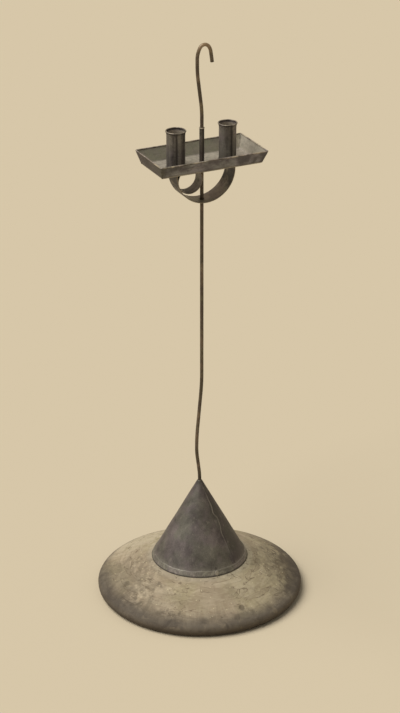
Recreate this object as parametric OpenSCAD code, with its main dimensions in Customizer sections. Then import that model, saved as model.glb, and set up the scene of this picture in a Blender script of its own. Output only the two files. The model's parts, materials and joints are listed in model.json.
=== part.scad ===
// Adjustable candle stand: a bowed iron rod with a hanging hook stands in a tin cone on a
// cast weight, and carries a tin tray with two candle sockets. The tray slides on the rod
// and turns round it. A spring bow below the tray holds it, and a ring is there for the finger.
// Lengths are in millimetres. The floor is z = 0, the weight's axis is x = y = 0, and the
// tray's long side lies along X.

/* [Weight] */
// Diameter of the cast weight
weight_d = 258.8; // [230:0.2:300]
// Radius of the weight's rounded edge
edge_r = 8.5; // [6:0.5:11]
// Radius of the arc that the top of the weight follows
dome_r = 290; // [240:5:400]
// Height of the flat crown above the cone's foot
crown_rise = 5; // [2:0.5:8]
// Diameter of the recess under the weight
recess_d = 40; // [34:1:60]
// Depth of the recess under the weight
recess_h = 11; // [10:0.5:20]

/* [Cone] */
// Diameter of the cone at its foot
cone_d = 120.2; // [100:0.2:140]
// Height of the cone's foot above the floor
cone_foot_z = 45.5; // [40:0.5:55]
// Height of the cone itself
cone_h = 105.5; // [80:0.5:125]
// Thickness of the cone's sheet, measured level
cone_t = 0.9; // [0.6:0.1:1.5]
// Height of the band round the cone's foot
band_h = 7.5; // [5:0.5:12]
// Thickness of the band
band_t = 0.8; // [0.5:0.1:1.5]
// Thickness of the lap seam and of the patch
seam_t = 0.5; // [0.3:0.1:1]
// Width of the cone's lap seam
seam_w = 5; // [3:0.5:8]
// Direction of the cone's seam, seen from above
cone_seam_a = -66; // [-180:1:180]
// Diameter of the solder patch on the band
patch_d = 6.4; // [4:0.2:7]
// Direction of the solder patch, seen from above
patch_a = -94.5; // [-180:0.5:180]

/* [Rod] */
// Diameter of the rod
rod_d = 4.4; // [3.6:0.1:5.6]
// How far the straight run stands to the right of the weight's axis
run_x = 2.9; // [1.5:0.1:5]
// Height where the straight run starts
run_z0 = 298; // [290:1:310]
// Height of the hook above the straight run
hook_h = 89.2; // [80:0.2:100]
// How far the rod's foot bend stands to the left of the weight's axis
foot_x = 4; // [2:0.1:8]
// Height of the foot bend's leftmost point
foot_z = 197; // [185:1:210]
// How far the hook's shank stands to the left of the weight's axis
hook_x = 2.9; // [1:0.1:6]
// Length of the hook's shank below its arch
shank_l = 8; // [2:0.1:20]
// Height of the whole stand
stand_h = 715.2; // [708:0.2:740]
// Radius of the hook's rising side, to the middle of the rod
rise_r = 26; // [15:0.5:40]
// Turn at which the rising side ends and the crown starts
rise_a = 30; // [15:1:45]
// Radius of the hook's crown, to the middle of the rod
crown_r = 6.6; // [5.5:0.1:9]
// Turn at which the crown ends and the falling side starts
fall_a = 144; // [120:1:160]
// Radius of the hook's falling side, to the middle of the rod
fall_r = 15; // [10:0.5:30]
// Turn of the hook's straight tip
tip_a = 172; // [162:1:180]
// Length of the hook's straight tip
tip_l = 12.5; // [8:0.5:25]
// How round the rod's slow bends are, 1 for two arcs that meet
roundness = 0.8; // [0.4:0.05:1]
// Diameter of the collar inside the cone
collar_d = 18; // [12:1:24]
// Height of the collar
collar_h = 8; // [5:0.5:12]
// Diameter of the washer under the weight
washer_d = 30; // [22:1:32]
// Thickness of the washer
washer_t = 2; // [1.5:0.1:2.5]
// Width of the square nut
nut_w = 12; // [10:0.5:14]
// Thickness of the nut
nut_h = 5.5; // [4:0.5:6]

/* [Tray] */
// How far the underside of the tray is below the top of the straight run
tray_drop = 57.2; // [50:0.2:80]
// Depth of the tray with its rim
tray_h = 17.1; // [12:0.1:20]
// Length of the tray over its rim
tray_l = 139.5; // [132:0.1:150]
// Width of the tray over its rim
tray_w = 73.1; // [66:0.1:85]
// Length of the tray's floor
floor_l = 129; // [118:0.2:131]
// Width of the tray's floor
floor_w = 56.7; // [50:0.1:60]
// Thickness of the tray's sheet
tray_t = 0.8; // [0.5:0.1:1.2]
// Diameter of the rim's rolled wire
rim_d = 1.9; // [1.4:0.1:2.6]
// Radius of the solder along the tray's corners
corner_r = 0.9; // [0.7:0.1:1.2]

/* [Candle sockets] */
// Distance from the rod to each socket
socket_x = 33.6; // [28:0.2:38]
// Height of the sockets above the tray's floor
socket_h = 45.4; // [35:0.2:60]
// Bore of the left socket
left_bore_d = 20.9; // [18:0.1:23]
// Bore of the right socket
right_bore_d = 19.4; // [18:0.1:23]
// Wall of the sockets
socket_t = 0.6; // [0.5:0.1:1]
// Height of the sockets' flared mouth
flare_h = 7; // [4:0.5:10]
// How far the mouth flares out
flare_w = 0.85; // [0.7:0.05:1.2]
// Radius of the rolled lip
lip_r = 0.8; // [0.6:0.05:1]
// Width of a socket's lap seam, as an angle
socket_seam_w = 24; // [12:1:40]
// Direction of the left socket's seam, seen from above
left_seam_a = -107; // [-180:1:180]
// Direction of the right socket's seam, seen from above
right_seam_a = -92; // [-180:1:180]

/* [Sleeve] */
// Height of the sleeve's mouth above the tray's underside
sleeve_h = 45; // [30:0.5:50]
// Wall of the sleeve
sleeve_t = 0.6; // [0.4:0.1:0.8]
// Radius of the bead round the sleeve's mouth
mouth_r = 0.55; // [0.4:0.05:0.8]

/* [Spring bow and ring] */
// Outer radius of the bow
bow_r = 38; // [34:0.1:42]
// Depth of the bow below the tray
bow_depth = 44.8; // [43:0.1:50]
// Width of the bow's strap
bow_w = 25.5; // [18:0.5:32]
// Thickness of the straps
strap_t = 0.9; // [0.7:0.1:1.3]
// Length of the bow's turned-in feet
foot_l = 7; // [4:0.5:10]
// Outer diameter of the finger ring
ring_d = 31.8; // [24:0.2:32]
// Width of the finger ring
ring_w = 18; // [10:0.5:22]
// Diameter of the bead round the rod's hole in the bow
bead_d = 8.6; // [7:0.2:12]
// Height of the bead
bead_h = 1.6; // [1:0.1:3]
// Size of the solder fillets
fillet = 1.8; // [1:0.1:2.4]

/* [Fits] */
// Gap left between two faces that are soldered together
joint_gap = 0.02; // [0.01:0.01:0.05]
// Gap between the cone and the sheet that is laid on it
skin_gap = 0.16; // [0.1:0.01:0.2]
// Radial clearance of a running fit
run_gap = 0.08; // [0.05:0.01:0.1]
// Clearance round the rod in the bow
rod_gap = 0.35; // [0.3:0.05:0.5]
// Thickness at the thin edge of a solder fillet
thin = 0.15; // [0.1:0.05:0.3]
// How full a solder fillet's hollow face is, 0.5 for a flat face
hollow = 0.38; // [0.3:0.01:0.5]

/* [Hidden] */
$fn = 64;
rod_r = rod_d / 2;
bar_r = rod_r - joint_gap / 2;
lap = 0.5;
over = 1;
bend_steps = 5;
arch_step = 9.5;
bar_sides = 20;
bead_sides = 24;
dome_sides = 360;
cone_r = cone_d / 2;
cone_top_r = rod_r + cone_t + run_gap;
cone_top_z = cone_foot_z + cone_h;
rod_foot_z = cone_top_z + fillet + over;
collar_z = cone_foot_z + crown_rise;
washer_z = recess_h - washer_t;
nut_z = washer_z - nut_h;
rod_end_z = nut_z / 2;
run_z1 = stand_h - hook_h;
hook_foot_z = run_z1 + joint_gap;
arch_h = rise_r * sin(rise_a) + crown_r * (1 - sin(rise_a));
arch_z = stand_h - rod_r - arch_h;
hook_z = arch_z - shank_l;
tray_z = run_z1 - tray_drop;
rim_r = rim_d / 2;
rim_x = tray_l / 2 - rim_r;
rim_y = tray_w / 2 - rim_r;
rim_z = tray_z + tray_h - rim_r;
pan_h = tray_h - 1.5 * rim_r;
deck_z = tray_z + tray_t;
sleeve_r = rod_r + run_gap + sleeve_t;
left_r = left_bore_d / 2 + socket_t;
right_r = right_bore_d / 2 + socket_t;
flare_z = socket_h - flare_h;
lip_z = socket_h - lip_r;
bow_z = tray_z - bow_depth + bow_r;
bow_in = bow_r - strap_t;
ring_r = ring_d / 2;
ring_z = tray_z - ring_r - joint_gap;
ring_reach = bow_in - ring_r - joint_gap;
ring_x = run_x - sqrt(ring_reach * ring_reach - (bow_z - ring_z) * (bow_z - ring_z));
ring_lean = atan2(ring_z - bow_z, ring_x - run_x);
weld_l = 5 * fillet;
tin = "DimGray";
solder = "DarkGray";

// Centre of the circle of radius big that passes through p and touches from outside
// the circle of radius small round e
function dome_centre(p, e, big, small) =
    let (
        gap = norm(e - p),
        along = (big * big - (big - small) * (big - small) + gap * gap) / (2 * gap),
        side = sqrt(big * big - along * along),
        dir = (e - p) / gap
    )
    p + dir * along + [dir[1], -dir[0]] * side;

edge_centre = [weight_d / 2 - edge_r, edge_r];
foot_in = [cone_r - cone_t, cone_foot_z - joint_gap];
dome_c = dome_centre(foot_in, edge_centre, dome_r, edge_r);
touch_point = dome_c + (edge_centre - dome_c) * dome_r / (dome_r - edge_r);

// Radius of the cone's outer face at height z
function side_r(z) = cone_r + (cone_top_r - cone_r) * (z - cone_foot_z) / cone_h;

// Solid of revolution between the cone's face and a face t further out, from z0 to z1
module cone_layer(z0, z1, t0, t1) {
    rotate_extrude()
        polygon([
            [side_r(z0) + t0, z0],
            [side_r(z0) + t1, z0],
            [side_r(z1) + t1, z1],
            [side_r(z1) + t0, z1]
        ]);
}

// Hollow-faced solder fillet with its corner at the origin
module fillet_outline(size) {
    polygon([
        [0, 0],
        [size, 0],
        [size, thin],
        [size * hollow, size * hollow],
        [thin, size],
        [0, size]
    ]);
}

// Ring of solder in the corner between a tube of radius r and the face it stands on
module foot_fillet(r, size) {
    rotate_extrude()
        translate([r, joint_gap])
            fillet_outline(size);
}

// Stations of a bend that leaves upward from p and arrives upward, s to the right of p and
// h higher; a station is [x, z, tilt]
function bend_stations(p, s, h) =
    let (
        m = abs(s),
        r = roundness * (m * m + h * h) / (4 * m),
        straight = sqrt(m * m - 4 * r * m + h * h),
        a = atan2(straight, -2 * r) - atan2(h, m - 2 * r),
        way = [for (i = [0 : bend_steps]) a * i / bend_steps],
        last = len(way) - 1
    )
    concat(
        [for (t = way) [p[0] + sign(s) * r * (1 - cos(t)), p[1] + r * sin(t), sign(s) * t]],
        [
            for (i = [last : -1 : 0])
                [
                    p[0] + sign(s) * (m - r * (1 - cos(way[i]))),
                    p[1] + h - r * sin(way[i]),
                    sign(s) * way[i]
                ]
        ]
    );

// Stations of an arc that starts at p with the bar turned by a, and turns on to b
function arc_stations(p, r, a, b) =
    let (steps = ceil((b - a) / arch_step))
    [
        for (i = [0 : steps])
            let (t = a + (b - a) * i / steps)
            [p[0] + r * (cos(a) - cos(t)), p[1] + r * (sin(t) - sin(a)), t]
    ];

function end_of(list) = list[len(list) - 1];

function after_first(list) = [for (i = [1 : len(list) - 1]) list[i]];

// Stations of the hook, from the foot of its arch at p to its tip
function hook_stations(p) =
    let (
        rise = arc_stations(p, rise_r, 0, rise_a),
        crown = arc_stations(end_of(rise), crown_r, rise_a, fall_a),
        fall = arc_stations(end_of(crown), fall_r, fall_a, tip_a),
        tip = end_of(fall)
    )
    concat(
        rise,
        after_first(crown),
        after_first(fall),
        [[tip[0] + tip_l * sin(tip_a), tip[1] + tip_l * cos(tip_a), tip_a]]
    );

// Round bar of radius r along stations in the plane y = 0
module bar(stations, r) {
    sides = bar_sides;
    rings = len(stations);
    polyhedron(
        points = [
            for (st = stations, k = [0 : sides - 1])
                let (u = r * cos(360 * k / sides))
                [st[0] + u * cos(st[2]), r * sin(360 * k / sides), st[1] - u * sin(st[2])]
        ],
        faces = concat(
            [[for (k = [0 : sides - 1]) k]],
            [[for (k = [sides - 1 : -1 : 0]) (rings - 1) * sides + k]],
            [
                for (i = [0 : rings - 2], k = [0 : sides - 1], half = [0, 1])
                    let (a = i * sides + k, b = i * sides + (k + 1) % sides)
                    half == 0 ? [a, b + sides, b] : [a, a + sides, b + sides]
            ]
        )
    );
}

// Four-sided block whose floor and top differ in size
module flared_block(l0, w0, l1, w1, h) {
    polyhedron(
        points = [
            for (level = [[l0, w0, 0], [l1, w1, h]], c = [[-1, -1], [1, -1], [1, 1], [-1, 1]])
                [c[0] * level[0] / 2, c[1] * level[1] / 2, level[2]]
        ],
        faces = [
            [0, 1, 2, 3],
            [7, 6, 5, 4],
            for (i = [0 : 3]) [i, i + 4, (i + 1) % 4 + 4, (i + 1) % 4]
        ]
    );
}

// Outside of the tray's sheet, grown by g on every side
module pan_outside(g) {
    translate([run_x, 0, tray_z])
        flared_block(
            floor_l + 2 * g, floor_w + 2 * g,
            2 * rim_x + tray_t + 2 * g, 2 * rim_y + tray_t + 2 * g,
            pan_h
        );
}

// Point on the tray's corner line at height z
function corner_at(sx, sy, z) =
    let (t = (z - tray_z) / (rim_z - tray_z))
    [
        sx * (floor_l / 2 + (rim_x - floor_l / 2) * t),
        sy * (floor_w / 2 + (rim_y - floor_w / 2) * t),
        z
    ];

// Wire loop of radius r along the tray's rim
module rim_loop(r) {
    translate([run_x, 0, rim_z]) {
        for (side = [-1, 1]) {
            translate([-rim_x, side * rim_y, 0])
                rotate([0, 90, 0])
                    cylinder(r = r, h = 2 * rim_x);
            translate([side * rim_x, -rim_y, 0])
                rotate([-90, 0, 0])
                    cylinder(r = r, h = 2 * rim_y);
            for (end = [-1, 1])
                translate([end * rim_x, side * rim_y, 0])
                    sphere(r = r);
        }
    }
}

// Candle tube that stands on the tray's floor, with its flared mouth and rolled lip
module socket(x, r, bore) {
    translate([run_x + x, 0, deck_z + joint_gap])
        rotate_extrude() {
            polygon([
                [bore / 2, 0],
                [r, 0],
                [r, flare_z],
                [r + flare_w, lip_z],
                [bore / 2 + flare_w, lip_z],
                [bore / 2, flare_z]
            ]);
            translate([r + flare_w - socket_t / 2, lip_z])
                circle(r = lip_r);
        }
}

// Lap seam that runs up the outside of a candle tube
module socket_seam(x, r, a) {
    translate([run_x + x, 0, deck_z + fillet + 2 * joint_gap])
        rotate([0, 0, a])
            rotate_extrude(angle = socket_seam_w)
                translate([r + joint_gap, 0])
                    square([seam_t, flare_z - fillet - 2 * joint_gap]);
}

// Strap bent into a wide U with its ends turned in below the tray
module bow_outline() {
    difference() {
        union() {
            translate([0, bow_z])
                circle(r = bow_r);
            translate([-bow_r, bow_z])
                square([2 * bow_r, tray_z - joint_gap - bow_z]);
        }
        translate([0, bow_z])
            circle(r = bow_in);
        translate([-bow_in, bow_z])
            square([2 * bow_in, tray_z - joint_gap - strap_t - bow_z]);
        translate([-bow_in + foot_l, bow_z])
            square([2 * (bow_in - foot_l), bow_depth]);
        translate([-bow_r - over, tray_z - joint_gap])
            square([2 * (bow_r + over), bow_depth]);
    }
}

// Extrudes an outline that is drawn in X and Z to the width w, centred on Y
module across(w) {
    translate([0, w / 2, 0])
        rotate([90, 0, 0])
            linear_extrude(height = w)
                children();
}

module base_weight() {
    color("Tan")
        difference() {
            rotate_extrude() {
                intersection() {
                    translate(dome_c)
                        circle(r = dome_r, $fn = dome_sides);
                    polygon([
                        [0, 0],
                        [edge_centre[0], 0],
                        edge_centre,
                        touch_point,
                        [touch_point[0], collar_z],
                        [0, collar_z]
                    ]);
                }
                translate(edge_centre)
                    circle(r = edge_r);
            }
            translate([0, 0, -over])
                cylinder(d = recess_d, h = recess_h + over);
            cylinder(r = rod_r + run_gap, h = collar_z + over);
        }
}

module base_cone() {
    color(tin)
        cone_layer(cone_foot_z, cone_top_z, -cone_t, 0);
}

module cone_seam() {
    color(tin)
        intersection() {
            cone_layer(cone_foot_z + band_h + skin_gap, cone_top_z - fillet, skin_gap, seam_t);
            rotate([0, 0, cone_seam_a])
                translate([0, -seam_w / 2, 0])
                    cube([cone_d, seam_w, cone_top_z]);
        }
}

module cone_band() {
    color(solder)
        cone_layer(cone_foot_z, cone_foot_z + band_h, skin_gap, band_t);
}

module band_patch() {
    color(solder)
        intersection() {
            cone_layer(cone_foot_z, cone_foot_z + band_h, band_t + skin_gap, band_t + seam_t);
            rotate([0, 0, patch_a])
                translate([0, 0, cone_foot_z + band_h / 2])
                    rotate([0, 90, 0])
                        cylinder(d = patch_d, h = cone_d);
        }
}

module apex_solder() {
    color(solder)
        translate([0, 0, cone_top_z])
            foot_fillet(rod_r + joint_gap, cone_top_r - rod_r - joint_gap);
}

module rod() {
    color("SaddleBrown") {
        translate([0, 0, rod_end_z])
            cylinder(r = rod_r, h = rod_foot_z - rod_end_z);
        bar(
            concat(
                [[0, rod_foot_z - lap, 0]],
                bend_stations([0, rod_foot_z], -foot_x, foot_z - rod_foot_z),
                bend_stations([-foot_x, foot_z + lap], run_x + foot_x, run_z0 - foot_z - lap),
                [[run_x, run_z0 + lap, 0]]
            ),
            bar_r
        );
        translate([run_x, 0, run_z0])
            cylinder(r = rod_r, h = run_z1 - run_z0);
    }
}

// The rod's upper end. It is one bar with the rod, and a node of its own so that the hook's
// mouth stays open in every simplified shape made from the node.
module rod_hook() {
    color("SaddleBrown")
        bar(
            concat(
                bend_stations([run_x, hook_foot_z], -run_x - hook_x, hook_z - hook_foot_z),
                hook_stations([-hook_x, arch_z])
            ),
            rod_r
        );
}

// Flat ring that the rod passes through, clear of it by gap
module rod_ring(d, h, gap) {
    difference() {
        cylinder(d = d, h = h);
        translate([0, 0, -over])
            cylinder(r = rod_r + gap, h = h + 2 * over);
    }
}

module rod_collar() {
    color("Gray")
        translate([0, 0, collar_z + joint_gap])
            rod_ring(collar_d, collar_h, joint_gap);
}

module rod_washer() {
    color("Gray")
        translate([0, 0, washer_z])
            rod_ring(washer_d, washer_t - joint_gap, joint_gap);
}

module rod_nut() {
    color("Gray")
        difference() {
            translate([-nut_w / 2, -nut_w / 2, nut_z])
                cube([nut_w, nut_w, nut_h - joint_gap]);
            cylinder(r = rod_r + joint_gap, h = washer_z);
        }
}

module sleeve() {
    color(tin)
        translate([run_x, 0, tray_z])
            difference() {
                union() {
                    cylinder(r = sleeve_r, h = sleeve_h - mouth_r);
                    rotate_extrude()
                        translate([sleeve_r, sleeve_h - mouth_r])
                            circle(r = mouth_r);
                }
                translate([0, 0, -over])
                    cylinder(r = rod_r + run_gap, h = sleeve_h + 2 * over);
            }
}

module tray_pan() {
    color(tin)
        difference() {
            pan_outside(0);
            translate([run_x, 0, deck_z])
                flared_block(
                    floor_l - 2 * tray_t, floor_w - 2 * tray_t,
                    2 * rim_x - tray_t, 2 * rim_y - tray_t,
                    pan_h
                );
            rim_loop(rim_r + joint_gap);
            translate([run_x, 0, tray_z - over])
                cylinder(r = sleeve_r + run_gap, h = tray_t + 2 * over);
        }
}

module tray_rim_wire() {
    color(solder)
        rim_loop(rim_r);
}

module tray_corner_solder() {
    color(solder)
        difference() {
            for (sx = [-1, 1], sy = [-1, 1])
                translate([run_x, 0, 0])
                    hull()
                        for (z = [tray_z + corner_r, rim_z - 2 * corner_r])
                            translate(corner_at(sx, sy, z))
                                sphere(r = corner_r, $fn = bead_sides);
            pan_outside(joint_gap);
            rim_loop(rim_r + joint_gap);
        }
}

module left_socket() {
    color(tin)
        socket(-socket_x, left_r, left_bore_d);
}

module right_socket() {
    color(tin)
        socket(socket_x, right_r, right_bore_d);
}

module left_socket_seam() {
    color(tin)
        socket_seam(-socket_x, left_r, left_seam_a);
}

module right_socket_seam() {
    color(tin)
        socket_seam(socket_x, right_r, right_seam_a);
}

module left_socket_solder() {
    color(solder)
        translate([run_x - socket_x, 0, deck_z])
            foot_fillet(left_r + joint_gap, fillet);
}

module right_socket_solder() {
    color(solder)
        translate([run_x + socket_x, 0, deck_z])
            foot_fillet(right_r + joint_gap, fillet);
}

module sleeve_solder() {
    color(solder)
        translate([run_x, 0, deck_z])
            foot_fillet(sleeve_r + run_gap, fillet);
}

module bow_spring() {
    color(tin)
        translate([run_x, 0, 0])
            difference() {
                across(bow_w)
                    bow_outline();
                translate([0, 0, tray_z - bow_depth - over])
                    cylinder(r = rod_r + rod_gap, h = bow_depth / 2);
            }
}

module bow_bead() {
    color(solder)
        translate([run_x, 0, tray_z - bow_depth - bead_h - joint_gap])
            rod_ring(bead_d, bead_h, run_gap);
}

module bow_solder() {
    color(solder)
        for (side = [0, 1])
            translate([run_x, 0, 0])
                mirror([side, 0, 0])
                    across(bow_w)
                        translate([bow_r + joint_gap, tray_z - joint_gap])
                            rotate(-90)
                                fillet_outline(fillet);
}

module finger_ring() {
    color(tin)
        across(ring_w)
            translate([ring_x, ring_z])
                difference() {
                    circle(r = ring_r);
                    circle(r = ring_r - strap_t);
                }
}

module ring_solder() {
    color(solder)
        across(ring_w - fillet)
            difference() {
                union() {
                    translate([ring_x - weld_l / 2, tray_z - joint_gap - fillet / 2])
                        square([weld_l, fillet / 2]);
                    intersection() {
                        translate([run_x, bow_z])
                            circle(r = bow_in - joint_gap);
                        translate([ring_x, ring_z])
                            rotate(ring_lean)
                                translate([ring_r - fillet, -weld_l / 2])
                                    square([2 * fillet, weld_l]);
                    }
                }
                translate([ring_x, ring_z])
                    circle(r = ring_r + joint_gap / 2);
            }
}

base_weight();
base_cone();
cone_seam();
cone_band();
band_patch();
apex_solder();
rod();
rod_hook();
rod_collar();
rod_washer();
rod_nut();
sleeve();
tray_pan();
tray_rim_wire();
tray_corner_solder();
left_socket();
left_socket_seam();
left_socket_solder();
right_socket();
right_socket_seam();
right_socket_solder();
sleeve_solder();
bow_spring();
bow_bead();
bow_solder();
finger_ring();
ring_solder();
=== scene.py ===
"""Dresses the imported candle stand. Each piece is rebuilt over its CAD node with the uneven,
worn surface of cast stone, old tinplate, solder and forged iron. Lengths are in metres."""

import json
import math

import bmesh
import bpy
from bpy.props import FloatProperty, FloatVectorProperty, PointerProperty
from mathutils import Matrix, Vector, noise

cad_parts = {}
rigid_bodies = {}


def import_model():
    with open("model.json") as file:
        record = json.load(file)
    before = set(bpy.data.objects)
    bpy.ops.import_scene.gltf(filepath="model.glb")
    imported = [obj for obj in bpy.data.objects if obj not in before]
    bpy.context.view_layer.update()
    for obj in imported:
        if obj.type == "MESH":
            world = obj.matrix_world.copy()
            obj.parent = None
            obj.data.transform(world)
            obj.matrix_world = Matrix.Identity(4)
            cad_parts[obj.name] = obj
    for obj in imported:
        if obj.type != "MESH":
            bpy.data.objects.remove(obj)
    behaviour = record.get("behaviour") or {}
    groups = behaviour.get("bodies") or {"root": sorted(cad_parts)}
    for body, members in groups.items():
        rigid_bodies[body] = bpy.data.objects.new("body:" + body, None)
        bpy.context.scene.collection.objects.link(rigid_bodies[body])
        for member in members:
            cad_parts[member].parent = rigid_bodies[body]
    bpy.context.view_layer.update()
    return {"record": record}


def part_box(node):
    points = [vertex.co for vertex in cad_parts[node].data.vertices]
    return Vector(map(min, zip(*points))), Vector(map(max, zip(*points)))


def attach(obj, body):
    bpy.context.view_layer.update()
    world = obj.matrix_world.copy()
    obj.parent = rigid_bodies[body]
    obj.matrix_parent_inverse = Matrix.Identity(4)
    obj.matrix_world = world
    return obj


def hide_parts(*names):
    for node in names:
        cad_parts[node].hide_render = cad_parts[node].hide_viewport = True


bl_info = {
    "name": "Candle Stand",
    "version": (1, 0, 0),
    "blender": (4, 5, 0),
    "location": "View3D > Sidebar > Candle Stand",
    "description": "Builds an old adjustable candle stand piece by piece",
    "category": "Add Mesh",
}

for leftover in list(bpy.data.objects):
    bpy.data.objects.remove(leftover)
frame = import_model()

MM = 0.001
TIGHT_BORE = 2.22 * MM  # of the parts that are fixed to the rod
RUNNING_BORE = 2.28 * MM  # of the parts that the rod passes through freely
RECORD = frame["record"]
BODY = {node: body for body, nodes in RECORD["behaviour"]["bodies"].items() for node in nodes}


def middle(node):
    """Middle of a CAD node's box."""
    low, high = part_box(node)
    return (low + high) / 2


def extent(node):
    """Size of a CAD node's box."""
    low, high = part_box(node)
    return high - low


def paint(red, green, blue):
    """A colour written as it looks, 0 to 255, as the linear values that Blender keeps."""
    return tuple(
        c / 12.92 if c <= 0.04045 else ((c + 0.055) / 1.055) ** 2.4
        for c in (red / 255, green / 255, blue / 255)
    )


def length(name, description, default):
    return FloatProperty(name=name, description=description, default=default, unit="LENGTH")


def angle(name, description, degrees):
    return FloatProperty(
        name=name, description=description, default=math.radians(degrees), subtype="ANGLE"
    )


def colour(name, description, default):
    return FloatVectorProperty(
        name=name, description=description, default=default, subtype="COLOR", min=0, max=1
    )


# Settings


class WeightSettings(bpy.types.PropertyGroup):
    """Sizes and colours of the cast weight"""

    radius: length("Radius", "Radius of the weight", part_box("base_weight")[1].x)
    crown: length("Crown", "Height of the flat crown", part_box("base_weight")[1].z)
    edge: length("Edge", "Radius of the rounded edge", 8.5 * MM)
    dome: length("Dome", "Radius of the arc that the top follows", 290 * MM)
    bore: length("Bore", "Radius of the hole for the rod", RUNNING_BORE)
    recess: length("Recess", "Radius of the recess underneath", 20 * MM)
    recess_height: length("Recess height", "Height of the recess", 11 * MM)
    sag: length("Unevenness", "How far the cast surface wanders", 0.7 * MM)
    face: colour("Face", "Pale body of the cast stone", paint(177, 160, 132))
    shade: colour("Shade", "Weathered parts of the face", paint(146, 130, 104))
    dull: colour("Dull", "Brushed dark strokes", paint(132, 116, 90))
    moss: colour("Moss", "Greenish weathered patches", paint(126, 117, 90))
    stain: colour("Stain", "Dark stains", paint(98, 87, 68))
    # Rim and Blot darken the rounded edge: partly soiling, partly painted shade where it turns down,
    # darkest at the bottom
    rim: colour("Rim", "Grimy rounded edge", paint(89, 80, 68))
    blot: colour("Blot", "Darkest blots of the edge", paint(60, 51, 42))
    crack: colour("Crack", "Hair cracks", paint(100, 85, 63))
    # Pale also lays the painted light on the back of the weight
    pale: colour("Pale", "Light brushed strokes", paint(194, 179, 150))
    dot: colour("Dot", "Light dots", paint(216, 200, 160))
    halo: colour("Halo", "Grey ring round the cone", paint(168, 158, 136))


class ConeSettings(bpy.types.PropertyGroup):
    """Sizes and colours of the sheet cone and its foot"""

    foot_radius: length("Foot radius", "Radius of the cone at its foot", 60.1 * MM)
    top_radius: length("Top radius", "Radius of the cone at its point", 3.18 * MM)
    foot: length("Foot", "Height of the foot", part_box("base_cone")[0].z)
    top: length("Top", "Height of the point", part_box("base_cone")[1].z)
    sheet: length("Sheet", "Thickness of the sheet", 0.9 * MM)
    skin: length("Skin gap", "Gap under the sheet laid on the cone", 0.16 * MM)
    lap: length("Lap", "Thickness of the lap seam", 0.5 * MM)
    lap_width: length("Lap width", "Width of the lap seam", 4.9 * MM)
    band: length("Band height", "Height of the band", extent("cone_band").z)
    band_sheet: length("Band sheet", "Thickness of the band", 0.8 * MM)
    dent: length("Dents", "How far the sheet is dented", 0.35 * MM)
    light: colour("Light tin", "Brighter parts of the tin", paint(122, 116, 108))
    dark: colour("Dark tin", "Darker parts of the tin", paint(70, 65, 61))
    # Solder is also the colour of the painted highlights on the lap's edge and the band
    solder: colour("Solder", "Solder wash on the band", paint(144, 137, 124))
    solder_dark: colour("Dull solder", "Dull parts of the solder", paint(98, 93, 85))


class RodSettings(bpy.types.PropertyGroup):
    """Sizes and colours of the forged rod"""

    radius: length("Radius", "Radius of the rod", 2.2 * MM)
    run_x: length("Run", "Where the straight run stands", middle("sleeve").x)
    run_low: length("Run start", "Height where the straight run starts", 298 * MM)
    run_high: length("Run end", "Height where the straight run ends", 626 * MM)
    foot_x: length("Foot bend", "How far the foot bend swings left", 4 * MM)
    foot_z: length("Foot height", "Height of the foot bend", 197 * MM)
    hook_x: length("Shank", "How far the hook's shank stands left", 2.9 * MM)
    hook_z: length("Shank height", "Height where the shank starts", 688.7 * MM)
    rise: length("Rising side", "Radius of the hook's rising side", 26 * MM)
    rise_turn: angle("Rising turn", "Turn at which the crown starts", 30)
    crown: length("Crown", "Radius of the hook's crown", 6.6 * MM)
    fall_turn: angle("Falling turn", "Turn at which the crown ends", 144)
    fall: length("Falling side", "Radius of the hook's falling side", 15 * MM)
    tip_turn: angle("Tip turn", "Turn of the hook's tip", 172)
    tip: length("Tip", "Length of the hook's tip", 12.5 * MM)
    hammer: length("Hammer marks", "Depth of the hammer marks", 0.14 * MM)
    light: colour("Light iron", "Rubbed iron", paint(118, 105, 86))
    dark: colour("Dark iron", "Browned iron", paint(76, 66, 54))
    worn: colour("Worn iron", "Hook where hands rub it", paint(154, 131, 102))


class TraySettings(bpy.types.PropertyGroup):
    """Sizes and colours of the tray"""

    floor_length: length("Floor length", "Length of the floor", 129 * MM)
    floor_width: length("Floor width", "Width of the floor", 56.7 * MM)
    rim: length("Rim", "Radius of the rolled rim", 0.95 * MM)
    sheet: length("Sheet", "Thickness of the sheet", 0.8 * MM)
    hole: length("Hole", "Radius of the hole for the sleeve", 2.96 * MM)
    dent: length("Dents", "How far the walls are dented", 0.45 * MM)
    light: colour("Light tin", "Brighter tin of the walls", paint(130, 123, 113))
    dark: colour("Dark tin", "Darker tin of the walls", paint(80, 74, 68))
    # Floor also colours the painted light on the right end's inner face
    floor: colour("Floor tin", "Rubbed tin of the floor", paint(187, 177, 159))
    rim_light: colour("Rim", "Rubbed rim", paint(178, 166, 145))
    rim_dark: colour("Rim shade", "Dull parts of the rim", paint(112, 101, 85))


class SocketSettings(bpy.types.PropertyGroup):
    """Sizes and colours of the candle sockets and the sleeve"""

    wall: length("Wall", "Wall of the sockets", 0.6 * MM)
    lip: length("Lip", "Radius of the rolled lip", 0.8 * MM)
    flare: length("Flare", "How far the mouth flares", 0.85 * MM)
    flare_height: length("Flare height", "Height of the flared part", 7 * MM)
    light: colour("Light tin", "Brighter tin of the tubes", paint(122, 113, 101))
    dark: colour("Dark tin", "Darker tin of the tubes", paint(60, 53, 47))
    # Worn also colours the painted glints and the painted light inside the mouths
    worn: colour("Worn lip", "Rubbed lips and edges", paint(172, 160, 140))


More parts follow.
